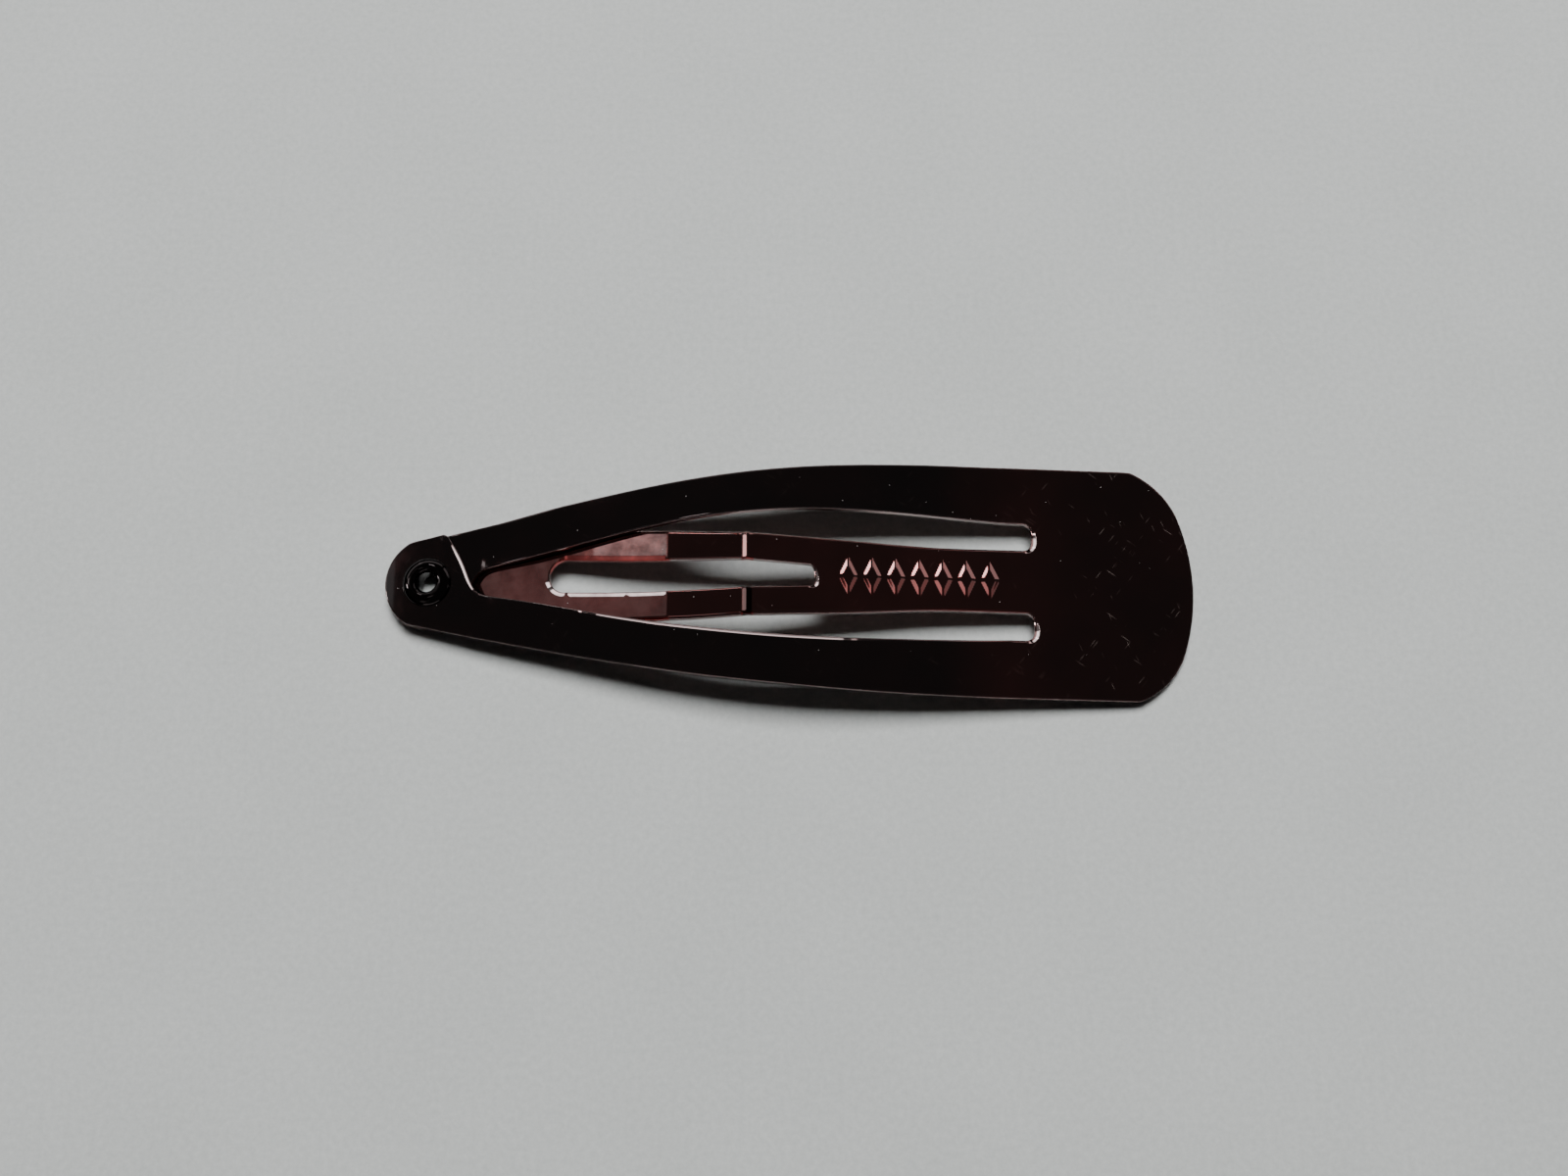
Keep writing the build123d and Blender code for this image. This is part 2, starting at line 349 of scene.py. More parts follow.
def ease(points, corner, reach):
    """Eases the corner nearest to a place: a short curve from reach before it to reach after."""
    points = np.array(points, float)
    at = len(points) // 2
    points = np.roll(points, at - nearest(points, corner), axis=0)
    run = lengths_along(points)
    low = int(np.searchsorted(run, run[at] - reach))
    high = int(np.searchsorted(run, run[at] + reach))
    t = np.linspace(0, 1, 12)[:, None]
    curve = (1 - t) ** 2 * points[low] + 2 * t * (1 - t) * points[at] + t**2 * points[high]
    return np.vstack([points[:low], curve, points[high + 1:]])


print("length of a 3 by 4 corner:", lengths_along(np.array([(0, 0), (3, 0), (3, 4)]))[-1])

# %% Even points
RIM_STEP = 0.16
FILL_STEP = 0.36


def even(points, step):
    """The same closed outline with points a step apart. It starts at its first point."""
    closed = np.vstack([points, points[:1]])
    run = lengths_along(closed)
    keep = np.concatenate([[True], np.diff(run) > 1e-6])
    count = max(12, int(round(run[-1] / step)))
    marks = np.linspace(0, run[-1], count, endpoint=False)
    return np.stack([np.interp(marks, run[keep], closed[keep, i]) for i in (0, 1)], axis=1)


def open_even(points, step):
    """The same open line with points a step apart, both ends kept."""
    points = np.array(points, float)
    run = lengths_along(points)
    count = max(2, int(round(run[-1] / step)) + 1)
    marks = np.linspace(0, run[-1], count)
    return np.stack([np.interp(marks, run, points[:, i]) for i in (0, 1)], axis=1)


def with_cuts(points, runs):
    """Even points of an outline whose runs are joined by straight cuts, and flags for cuts."""
    parts = []
    on_cut = []
    for number, (start, end) in enumerate(runs):
        points = np.roll(points, -nearest(points, start), axis=0)
        rim = open_even(points[:nearest(points, end) + 1], RIM_STEP)
        next_start = runs[(number + 1) % len(runs)][0]
        gap = open_even([end, next_start], FILL_STEP)[1:-1]
        parts += [rim, gap]
        on_cut += [True] + [False] * (len(rim) - 2) + [True] * (1 + len(gap))
    return np.vstack(parts), np.array(on_cut)


print("points along 10 mm of rim:", len(open_even([(0, 0), (10, 0)], RIM_STEP)))

# %% [markdown]
# ## From outline to stamped sheet
# A stamped sheet isn't a plain slab: the punch draws the top edge down into a small round,
# which is what catches the light as a fine bright line, and leaves the lower edge crisp. The
# sheet could be a curve fill with a solidify and a bevel, but those give long thin faces that
# show in a gloss finish. Here the rim is built as rings that follow the outline, the inside is
# filled with small even triangles, and every corner is given the exact normal of the form.

# %% Profile of the rim
ROUND_IN = 0.22
ROUND_DOWN = 0.12
EDGE_CRISP = 0.04
QUARTER = math.pi / 2


def rim_profile():
    """Steps down the rim: a long soft shoulder above, a crisp corner below.

    A step has an inset, a drop, and the turn of its normal from straight up. Where the edge is
    pressed to a flat facet, that lies between the second and the third step.
    """
    rows = []
    for a in np.radians(np.linspace(0, 90, 10)):
        turn = math.atan2(ROUND_DOWN * math.sin(a), ROUND_IN * math.cos(a))
        rows.append((ROUND_IN * (1 - math.sin(a)), ROUND_DOWN * (1 - math.cos(a)), turn))
    for b in np.radians(np.linspace(0, 90, 4)):
        drop = SHEET - EDGE_CRISP * (1 - math.sin(b))
        rows.append((EDGE_CRISP * (1 - math.cos(b)), drop, QUARTER + b))
    return rows


print("steps down the rim:", len(rim_profile()))


# %% What lies inside, and which way a form faces
def inside(points, outlines):
    """Which points lie in the metal, by counting the outlines' crossings."""
    hits = np.zeros(len(points), int)
    for outline in outlines:
        x0, y0 = outline.T
        x1, y1 = np.roll(outline, -1, axis=0).T
        for ax, ay, bx, by in zip(x0, y0, x1, y1):
            spans = (ay > points[:, 1]) != (by > points[:, 1])
            cross = ax + (points[:, 1] - ay) * (bx - ax) / (by - ay + 1e-15)
            hits += spans & (points[:, 0] < cross)
    return hits % 2 == 1


def unit(v):
    """The same directions with length 1."""
    return v / np.maximum(np.linalg.norm(v, axis=-1, keepdims=True), 1e-12)


def normals_of(form, xy, probe=0.004):
    """Unit normals of the form's top over the places xy."""
    x, y = xy.T
    dx = (form(x + probe, y) - form(x - probe, y)) / (2 * probe)
    dy = (form(x, y + probe) - form(x, y - probe)) / (2 * probe)
    normal = np.stack([-dx, -dy, np.ones(len(x))], axis=1)
    return normal / np.linalg.norm(normal, axis=1, keepdims=True)


print("normal on the plate:", normals_of(tongue_form(), np.array([(20.0, 0.0)]))[0].round(3))

# %% Directions round an outline
SHARPEST_CORNER, SHARPEST_CUT = 0.35, 0.2


def rim_directions(outline, cut):
    """For each point: the rim's inward step, the outward direction, and the cuts beside it."""
    ahead = unit(np.roll(outline, -1, axis=0) - outline)
    behind = np.roll(ahead, 1, axis=0)
    left = np.stack([-ahead[:, 1], ahead[:, 0]], axis=1)
    left_behind = np.roll(left, 1, axis=0)
    both = left + left_behind
    step = both / np.maximum(1 + (left * left_behind).sum(1), SHARPEST_CORNER)[:, None]
    out = -unit(both)
    cut_after = cut & np.roll(cut, -1)
    cut_before = cut & np.roll(cut, 1)
    for i in np.nonzero(cut & ~(cut_after & cut_before))[0]:
        along = ahead[i] if cut_after[i] else -behind[i]
        side = left_behind[i] if cut_after[i] else left[i]
        step[i] = along / max(float(along @ side), SHARPEST_CUT)
        out[i] = -side
    return step, out, cut_after, cut_before


print("a hole's rim steps outwards by", rim_directions(*hole(0, 0, 1))[0][0].round(2))

# %% Rings down the rim
FULL_FACET = 0.05
BARE_GAIN = 4


def rim_rings(outline, step, out, on_cut, top, bottom, soft, width, tilt):
    """For each step of the rim: its places, heights, normals and shares of rim.

    A share over 1 marks a pressed facet, where the finish shows bare metal.
    """
    pressed = np.clip(width / FULL_FACET, 0, 1)
    out = np.column_stack([out, np.zeros(len(out))])
    rings = []
    for k, (row_inset, row_drop, row_turn) in enumerate(rim_profile()):
        above = row_turn <= QUARTER and row_drop < SHEET / 2
        surface = top if above else bottom
        wider = soft if above else 1
        inset = row_inset * wider + width * (k < 2)
        drop = row_drop * wider + width * np.tan(tilt) * (above and k > 1)
        turn = np.maximum(row_turn, tilt * pressed * (k > 0))[:, None]
        xy = outline + step * np.where(on_cut, 0, inset)[:, None]
        up = normals_of(surface, xy)
        outward = unit(out - (out * up).sum(1)[:, None] * up)
        normal = np.cos(turn) * up + np.sin(turn) * outward
        bare = (1 + BARE_GAIN * width) * pressed * (k in (1, 2))
        share = np.maximum(math.sin(min(row_turn, QUARTER)), bare)
        rings.append((xy, surface(*xy.T) - drop, normal, share))
    return rings


print("a facet counts in full from", FULL_FACET, "mm of width")


# %% Faces of the rim
def rim_faces(index, cut_after, cut_before):
    """Faces between the rings, and one flat face for each straight cut."""
    last = len(index) - 1
    after = np.roll(np.arange(index.shape[1]), -1)
    faces = [
        (index[k, j], index[k, i], index[k + 1, i], index[k + 1, j])
        for i, j in enumerate(after)
        if not cut_after[i]
        for k in range(last)
    ]
    for start in np.nonzero(cut_after & ~cut_before)[0]:
        line = [start]
        while cut_after[line[-1]]:
            line.append(after[line[-1]])
        cap = [index[0, i] for i in reversed(line)]
        cap += [index[k, line[0]] for k in range(1, last)]
        cap += [index[last, i] for i in line]
        cap += [index[k, line[-1]] for k in range(last - 1, 0, -1)]
        faces.append(tuple(cap))
    return faces


print("faces round a three-point rim of two rings:", len(rim_faces(
    np.arange(6).reshape(2, 3), np.zeros(3, bool), np.zeros(3, bool))))

# %% Points of the infill
ROW_SHARE = 0.87
RIM_ROOM = 0.5
FINE_ROOM = 0.45
FINE_RIM_ROOM = 0.05


def clear_of(points, others, room):
    """The points that have none of the others within a room round them."""
    tree = KDTree(len(others))
    for i, (x, y) in enumerate(others):
        tree.insert((x, y, 0), i)
    tree.balance()
    return points[[tree.find((x, y, 0))[2] > room for x, y in points]]


def fill_points(borders, fine_places):
    """A grid of even points inside the borders, and closer ones at the fine places."""
    low = borders[0].min(0)
    high = borders[0].max(0)
    rim = np.vstack(borders)
    grid = np.array([
        (x + (n % 2) * FILL_STEP / 2, y)
        for n, y in enumerate(np.arange(low[1], high[1], FILL_STEP * ROW_SHARE))
        for x in np.arange(low[0], high[0], FILL_STEP)
    ])
    grid = clear_of(grid[inside(grid, borders)], rim, FILL_STEP * RIM_ROOM)
    if not len(fine_places):
        return grid
    fine = np.array(fine_places)
    fine = clear_of(fine[inside(fine, borders)], rim, FINE_RIM_ROOM)
    return np.vstack([clear_of(grid, fine, FILL_STEP * FINE_ROOM), fine])


print("points in a square of 10 mm:", len(fill_points(
    [open_even([(0, 0), (10, 0), (10, 10), (0, 10), (0, 0)], RIM_STEP)[:-1]], ())))


# %% Triangles of the infill
def fill_triangles(borders, fill):
    """Triangles between the points of the borders and of the fill, numbered in that order."""
    flat = np.vstack(borders + [fill])
    edges = []
    for xy in borders:
        begin = len(edges)
        edges += [(begin + i, begin + (i + 1) % len(xy)) for i in range(len(xy))]
    made = delaunay_2d_cdt([Vector(p) for p in flat], edges, [], 0, 1e-7)
    found, origins = made[2:4]
    source = [numbers[0] if numbers else -1 for numbers in origins]
    triangles = np.array([[source[i] for i in face] for face in found])
    triangles = triangles[(triangles >= 0).all(1)]
    return triangles[inside(flat[triangles].mean(1), borders)]


print("triangles round one point in a square:", len(fill_triangles(
    [np.array([(0.0, 0.0), (1.0, 0.0), (1.0, 1.0), (0.0, 1.0)])], np.array([(0.5, 0.4)]))))


# %% A mesh that remembers its places
def new_piece(name, spots, faces, rim_shares):
    """A mesh from places in millimetres, which also keeps those places for its finish."""
    mesh = bpy.data.meshes.new(name)
    corners = [tuple(v * MM for v in spot) for spot in spots]
    mesh.from_pydata(corners, [], [tuple(map(int, face)) for face in faces])
    mesh.polygons.foreach_set("use_smooth", [True] * len(mesh.polygons))
    kept = mesh.attributes.new("place", "FLOAT_VECTOR", "POINT")
    kept.data.foreach_set("vector", np.ravel(spots))
    shares = mesh.attributes.new("rim", "FLOAT", "POINT")
    shares.data.foreach_set("value", rim_shares)
    piece = bpy.data.objects.new(name, mesh)
    bpy.context.scene.collection.objects.link(piece)
    print(name, "faces", len(mesh.polygons))
    return piece


class Gathered:
    """The points and faces of a sheet while it is put together."""

    def __init__(self):
        self.spots, self.normals, self.rim_shares, self.faces = [], [], [], []

    def add(self, xy, z, normal, rim_share):
        """Adds points and gives their numbers."""
        start = len(self.spots)
        self.spots.extend(np.column_stack([xy, z]).tolist())
        self.normals.extend(np.asarray(normal).tolist())
        self.rim_shares.extend((rim_share + np.zeros(len(xy))).tolist())
        return np.arange(start, start + len(xy))


print("meshes before the clip's own:", len(bpy.data.meshes))


# %% A stamped sheet
def add_rim(sheet, outline, cut, top, bottom, softness, facet):
    """Adds a rim. Gives its inner line and the numbers of its top and bottom rings."""
    step, out, cut_after, cut_before = rim_directions(outline, cut)
    on_cut = cut_after & cut_before
    soft = softness(*outline.T)
    width, tilt = facet(*outline.T)
    rings = rim_rings(outline, step, out, on_cut, top, bottom, soft, width, tilt)
    last = len(rings) - 1
    index = np.full((len(rings), len(outline)), -1)
    for k, ring in enumerate(rings):
        wanted = ~on_cut if 0 < k < last else np.ones(len(outline), bool)
        index[k, wanted] = sheet.add(*(part[wanted] for part in ring))
    sheet.faces.extend(rim_faces(index, cut_after, cut_before))
    return rings[0][0], index[0], index[last]


def stamped_sheet(name, outlines, top, softness, facet, bottom=None, fine_places=()):
    """A closed sheet: outlines is a list of (points, cut flags), the first one outside.

    Its upper face follows the form top, and its lower face the form bottom. For places on the
    outline, softness gives how many times wider the shoulder is there, and facet gives the
    width of the flat facet and its tilt.
    """
    bottom = bottom or top
    sheet = Gathered()
    rims = [add_rim(sheet, *each, top, bottom, softness, facet) for each in outlines]
    borders = [xy for xy, _, _ in rims]
    fill = fill_points(borders, fine_places)
    upper = [i for _, ring, _ in rims for i in ring]
    lower = [i for _, _, ring in rims for i in ring]
    upper += list(sheet.add(fill, top(*fill.T), normals_of(top, fill), 0))
    lower += list(sheet.add(fill, bottom(*fill.T) - SHEET, -normals_of(bottom, fill), 0))
    for a, b, c in fill_triangles(borders, fill):
        sheet.faces.append((upper[a], upper[b], upper[c]))
        sheet.faces.append((lower[c], lower[b], lower[a]))
    piece = new_piece(name, sheet.spots, sheet.faces, sheet.rim_shares)
    piece.data.normals_split_custom_set_from_vertices([tuple(n) for n in sheet.normals])
    return piece


print("steps of the rim and of the fill:", RIM_STEP, FILL_STEP, "mm")

# %% [markdown]
# ## The two arms
# The arms end in two round lobes, lapped one over the other, with a free edge that swings from
# the outer corner to the throat between the arms. A mirror modifier could make the second arm,
# but a mirror image would lie in the first one at the lap. So both come from one outline, the
# near one mirrored in its points and laid one step higher. The outline ends at the root in a
# straight cut, where the arm runs on into the plate.

# %% Outline of an arm
ROOT_OUTER = float(outer_edge(SEAM_X))
ROOT_INNER = float(inner_edge(SEAM_X))
FAR_CUT = ((SEAM_X, ROOT_OUTER), (SEAM_X, ROOT_INNER))
THROAT = (THROAT_X, float(inner_edge(THROAT_X)))
THROAT_SLOPE = 0.26
LAP_CORNER = (NARROW_X + 3.7, -3.084)
LAP_EDGE = ((4.5, -1.8), (4.97, -0.85), (5.3, -0.05), (5.63, 0.52), (6.05, 0.84))
LOBE_REACH, LAP_REACH = 0.3, 0.35


def lap_edge():
    """The free edge of a lapped end: an easy double curve from its corner to the throat."""
    places = [LAP_CORNER] + [(NARROW_X + x, y) for x, y in LAP_EDGE] + [THROAT]
    return edge_run(LAP_CORNER[0], THROAT_X, smooth(places, last=THROAT_SLOPE), 80)


def arm_outline():
    """The far arm's outline from the root, round the lapped end and back."""
    turned = (LOBE_SHOULDER[0], -LOBE_SHOULDER[1])
    points = edge_run(SEAM_X, LOBE_SHOULDER[0], outer_edge)[:-1]
    points += arc(LOBE_SHOULDER, (NARROW_X, 0), turned)[:-1]
    points += straight(turned, LAP_CORNER)[:-1]
    points += lap_edge()[:-1]
    points += edge_run(THROAT_X, SEAM_X, inner_edge)
    for corner in (LOBE_SHOULDER, turned):
        points = ease(points, corner, LOBE_REACH)
    return ease(points, LAP_CORNER, LAP_REACH)


print("points round an arm:", len(arm_outline()))

# %% [markdown]
# ## Pressed edges of the arms
# On the real clip the near arm's free edge and its inner edge catch the light as bright lines,
# because the press has flattened them a little. A wider bevel would blur those lines. So the
# rim gets a flat facet of a given width and tilt along a stretch, and fades out at both ends.

# %% Shoulders and facets of an arm
LAP_FACET, LAP_TILT = 0.10, 33
LAP_STRETCH = (-21.1, 0.6, -18.9, 0.9)
LAP_FROM_Y = -0.9
INNER_FACET, INNER_TILT = 0.05, 24
INNER_STRETCH = (-14.5, 3, 7, 4)
NOT_INNER_BAND = 0.5
OUTER_BAND, OUTER_SOFT = 0.4, 0.5
LAP_SOFT, ROOT_SOFTER = 0.4, 0.3
SOFTER_FADE = (-12, 4)


def arm_softness(x, y):
    """The edges are crisp, the outer ones and those near the lap most."""
    on_outer = np.abs(y) > outer_edge(x) - OUTER_BAND
    return np.where(on_outer, OUTER_SOFT, LAP_SOFT + ROOT_SOFTER * fade(x, *SOFTER_FADE))


def arm_facet(side):
    """The near arm's lap is pressed to a steep facet and its inner edge to a fine one."""
    def facet(x, y):
        on_lap = stretch(x, *LAP_STRETCH) * (side > 0) * (y > LAP_FROM_Y)
        inner = np.abs(y) < outer_edge(x) - NOT_INNER_BAND
        on_inner = stretch(x, *INNER_STRETCH) * inner * (side > 0)
        tilt = np.where(on_lap > 0, LAP_TILT, INNER_TILT + roll_at(x))
        return LAP_FACET * on_lap + INNER_FACET * on_inner, np.radians(tilt)

    return facet


print("lap facet", LAP_FACET, "mm, inner facet", INNER_FACET, "mm wide")

# %% Arms
EYELET_HOLE = 1.03


def build_arm(name, side):
    """Side -1 is the far arm, lapped below; side 1 is the near arm, lapped on top."""
    outline, cut = with_cuts(arm_outline(), [FAR_CUT])
    if side > 0:
        outline = (outline * (1, -1))[::-1]
        cut = cut[::-1]
    outlines = [(outline, cut), hole(EYELET_X, 0, EYELET_HOLE)]
    return stamped_sheet(name, outlines, arm_form(side), arm_softness, arm_facet(side))


under_arm = build_arm("under_arm_sheet", -1)
over_arm = build_arm("over_arm_sheet", 1)

# %% [markdown]
# ## The plate and the tongue
# The plate and the tongue are one sheet. They could be two meshes with a hidden joint, but the
# gloss would show it, so they are one outline: round the wide end, along to the arms' roots,
# into each slot and along the tongue to its tip. The window is a hole. The tongue leans a
# little to the far side near its tip, as the photographed one does.

# %% Widths of the tongue and of its window
LEAN = 0.35
NECK = 2.0
TONGUE_WIDTH = 5.7
WINDOW_WIDTH = 2.06
TONGUE_ROWS = [
    {"along": 0.13, "half": 4.0 / TONGUE_WIDTH, "lean": 0.0},
    {"along": 0.28, "half": 0.793, "lean": 0.0},
    {"along": 0.43, "half": 0.877, "lean": 0.0},
    {"along": 0.58, "half": 0.961, "lean": 0.0},
    {"along": 0.72, "half": 1.000, "lean": 0.45},
    {"along": 0.87, "half": 0.895, "lean": 0.92},
]
WINDOW_ROWS = [
    {"along": 0.00, "half": 0.63, "lean": 0.0},
    {"along": 0.12, "half": 0.75, "lean": 0.0},
    {"along": 0.27, "half": 0.86, "lean": 0.0},
    {"along": 0.58, "half": 0.94, "lean": 0.0},
    {"along": 0.94, "half": 1.00, "lean": 0.9},
]


def strip_edges(rows, start_x, length, width, extra=()):
    """A strip's middle line, its half width, and its two edges, as curves."""
    def place(row):
        return start_x - row["along"] * length, row["lean"] * LEAN, row["half"] * width / 2

    places = [place(row) for row in rows] + list(extra)
    middle = smooth([(x, lean) for x, lean, _ in places])
    half = smooth([(x, wide) for x, _, wide in places])
    return middle, half, lambda x: middle(x) - half(x), lambda x: middle(x) + half(x)


print("rows of the tongue and of the window:", len(TONGUE_ROWS), len(WINDOW_ROWS))

# %% Outline of the plate and the tongue
SLOT_X = ROOT_X + 1.4
NECK_RUN = 0.8
SHOULDER = (WIDE_X - 3.7, HALF)
END_CORNER = (WIDE_X - 0.85, 4.6)
END_THROUGH = (WIDE_X - 0.21, 2.3)
CORNER_BULGE = 0.27
TIP_ROUND_X = TIP_X + 1.5
TIP_HALF = 1.75
SLOT_REACH, SHOULDER_REACH = 0.62, 0.25


def wide_end():
    """The far half of the outline, from the middle of the wide end into the slot."""
    between = tuple((a + b) / 2 + CORNER_BULGE for a, b in zip(SHOULDER, END_CORNER))
    points = arc((WIDE_X, 0), END_THROUGH, END_CORNER)[:-1]
    points += arc(END_CORNER, between, SHOULDER)[:-1]
    points += straight(SHOULDER, FAR_CUT[0], 40)[:-1]
    stops = [*FAR_CUT, (SLOT_X, ROOT_INNER), (SLOT_X, NECK)]
    for start, end in zip(stops, stops[1:]):
        points += straight(start, end)[:-1]
    return points


def blank_outline():
    """Round the wide end, into the far slot, along the tongue and back by the near slot."""
    far_half = wide_end()
    near_half = [(x, -y) for x, y in reversed(far_half)]
    neck = [(SLOT_X, 0, NECK), (SLOT_X - NECK_RUN, 0, NECK)]
    round_end = (TIP_ROUND_X, LEAN, TIP_HALF)
    _, _, near_edge, far_edge = strip_edges(
        TONGUE_ROWS, ROOT_X, TONGUE, TONGUE_WIDTH, [round_end] + neck)
    far_corner, near_corner = (TIP_ROUND_X, LEAN + TIP_HALF), (TIP_ROUND_X, LEAN - TIP_HALF)
    tongue = edge_run(SLOT_X, TIP_ROUND_X, far_edge, 200)
    tongue += arc(far_corner, (TIP_X, LEAN), near_corner)[1:-1]
    tongue += edge_run(TIP_ROUND_X, SLOT_X, near_edge, 200)
    points = np.array(far_half + tongue + near_half[:-1])
    for side in (1, -1):
        for y in (ROOT_INNER, NECK):
            points = ease(points, (SLOT_X, side * y), SLOT_REACH)
        points = ease(points, (SHOULDER[0], side * SHOULDER[1]), SHOULDER_REACH)
    return points


print("points round the plate and the tongue:", len(blank_outline()))

# %% Outline of the window
WINDOW_START = ROOT_X - 12.0
WINDOW_END = TIP_X + 5.6
WINDOW_REACH = 0.3
WINDOW_STEP = RIM_STEP * 0.8


def window_outline():
    """The window, drawn clockwise from its square end."""
    length = WINDOW_START - WINDOW_END
    middle, half, near_edge, far_edge = strip_edges(
        WINDOW_ROWS, WINDOW_START, length, WINDOW_WIDTH)
    round_x = WINDOW_START - WINDOW_ROWS[-1]["along"] * length
    lean = float(middle(round_x))
    wide = float(half(round_x))
    points = edge_run(WINDOW_START, round_x, near_edge)[:-1]
    points += arc((round_x, lean - wide), (WINDOW_END, lean), (round_x, lean + wide))[:-1]
    points += edge_run(round_x, WINDOW_START, far_edge)
    square = float(half(WINDOW_START))
    for y in (square, -square):
        points = ease(points, (WINDOW_START, y), WINDOW_REACH)
    return even(points, WINDOW_STEP)


window = window_outline()
print("window:", round(WINDOW_START - WINDOW_END, 2), "mm long")

# %% [markdown]
# ## Pressed edges of the tongue
# The brightest lines of the real clip are narrow facets: along both sides of the window beyond
# the bend, across the window's square end, and round the end of each slot. They could be
# painted on, but a painted line stays when the light moves. So they are real facets in the
# rim, each with its own width and tilt, and two small chips break the window's near one.

# %% Facet of a slot's end
SLOT_FACET, END_TILT = 0.11, 36
SLOT_FADE = (SLOT_X - 0.7, 0.4)
SLOT_BRIGHTEST = 0.55
SLOT_TOP, SLOT_FALL = 1.1, 2.2
STEEPER_FROM, STEEPER_REACH, STEEPER_BY = 0.40, 0.3, 4
OUTSIDE_Y, OUTSIDE_X = 4, 16


def slot_facet(x, y):
    """How much a place is on a slot's end, and how many degrees steeper the facet is there."""
    brightest = np.where(y > 0, NECK, -ROOT_INNER) + SLOT_BRIGHTEST
    share = fade(x, *SLOT_FADE) * (np.abs(y) < OUTSIDE_Y) * (x < OUTSIDE_X)
    share = share * np.clip(SLOT_TOP - SLOT_FALL * (y - brightest) ** 2, 0, 1)
    return share, STEEPER_BY * fade(y, brightest - STEEPER_FROM, STEEPER_REACH)


print("facet where the far slot ends:", float(slot_facet(SLOT_X, NECK + SLOT_BRIGHTEST)[0]))

# %% Facets of the window
WINDOW_FACET, WINDOW_TILT = 0.19, 24
WINDOW_END_FACET = 0.12
WINDOW_BAND, WINDOW_ROOM = 1.6, 0.2
FACET_FADE = (-7.5, -0.1)
STEEPER_FADE = (-13.9, -0.9)
FAR_SIDE_Y = LEAN - 0.3
ROUND_FADE = (WINDOW_END + 0.5, 0.6)
CHIPS = ((-13.7, 0.2), (-9.95, 0.12))
CHIP_LEAST = 0.05
SQUARE_FADE = (WINDOW_START - 0.5, 0.3)
SQUARE_MIDDLE, SQUARE_SPREAD = -0.25, 0.6


def on_window(x, y):
    """Whether a place of an outline is on the window's."""
    return (np.abs(y - LEAN / 2) < WINDOW_BAND) & (x < WINDOW_START + WINDOW_ROOM)


def window_facet(x, y):
    """How much a place is on the window's sides beyond the bend, and how much steeper."""
    far_side = np.where(y > FAR_SIDE_Y, fade(x, *ROUND_FADE), 1)
    chipped = np.minimum(*(np.abs(x - at) / wide for at, wide in CHIPS))
    near_side = np.where(y < LEAN, np.clip(chipped, CHIP_LEAST, 1), 1)
    share = fade(x, *FACET_FADE) * on_window(x, y) * far_side * near_side
    return share, (END_TILT - WINDOW_TILT) * fade(x, *STEEPER_FADE) * (y < LEAN)


def window_end(x, y):
    """How much a place is on the window's square end."""
    across = np.clip(1 - (y - SQUARE_MIDDLE) ** 2 / SQUARE_SPREAD, 0, 1)
    return fade(x, *SQUARE_FADE) * on_window(x, y) * across


print("window facet:", WINDOW_FACET, "mm wide at", WINDOW_TILT, "degrees")

# %% Shoulders and facets of the blank
PLATE_EDGE_Y, PLATE_EDGE_X = 5, 20
CRISPER = 0.5


def blank_softness(x, y):
    """The plate's outer edge and the window's are crisper than the tongue's."""
    on_plate_edge = np.maximum(np.abs(y) - PLATE_EDGE_Y, x - PLATE_EDGE_X) > 0
    return 1 - CRISPER * (on_plate_edge | on_window(x, y))


def blank_facet(x, y):
    """The width and tilt of the facet at any place of the outlines."""
    on_side, steeper = window_facet(x, y)
    on_slot, more = slot_facet(x, y)
    width = WINDOW_FACET * on_side + SLOT_FACET * on_slot + WINDOW_END_FACET * window_end(x, y)
    end_tilt = END_TILT + more * ~on_window(x, y)
    return width, np.radians(np.where(on_side > 0, WINDOW_TILT + steeper, end_tilt))


print("widest facet of the window:", float(blank_facet(*window.T)[0].max()), "mm")

# %% [markdown]
# ## Raised lozenges
# Between the window and the plate the tongue carries a row of small raised lozenges, pressed
# up from below. Separate little solids laid on top would show a seam, and a bump alone has no
# flanks to mirror a card. So they are part of the form itself: the height function swells over
# each lozenge and the fill is much finer there.

# %% Relief of the lozenges
LOZENGE_COUNT = 7
LOZENGE_PITCH = 1.45
LOZENGE_LONG = 1.26
LOZENGE_WIDE = 2.6
LOZENGE_RISE = 0.13
LOZENGE_FLANK = 0.55
LOZENGE_FIRST = ROOT_X - 1.3
LOZENGE_LAST = LOZENGE_FIRST - (LOZENGE_COUNT - 1) * LOZENGE_PITCH
FOOT = 1.06
CORNER_ROUND, RIDGE_ROUND, FOLD_ROUND = 0.004, 0.002, 0.01

plain_tongue = tongue_form()


def swell(x, y):
    """Height of the relief: at each place of the row a flat top and four flat flanks."""
    number = np.clip(np.round((LOZENGE_FIRST - x) / LOZENGE_PITCH), 0, LOZENGE_COUNT - 1)
    centre = LOZENGE_FIRST - number * LOZENGE_PITCH
    reach = np.sqrt((np.abs(x - centre) / (LOZENGE_LONG / 2)) ** 2 + CORNER_ROUND)
    reach = reach + np.sqrt((np.abs(y) / (LOZENGE_WIDE / 2)) ** 2 + RIDGE_ROUND)
    up = (FOOT - reach) / LOZENGE_FLANK
    folds = np.sqrt(up**2 + FOLD_ROUND) - np.sqrt((up - 1) ** 2 + FOLD_ROUND)
    return LOZENGE_RISE * (1 + folds) / 2


def pressed_tongue(x, y):
    """The tongue's top with its relief."""
    return plain_tongue(x, y) + swell(x, y)


print("a lozenge rises", round(float(swell(LOZENGE_FIRST, 0.0)), 3), "mm")

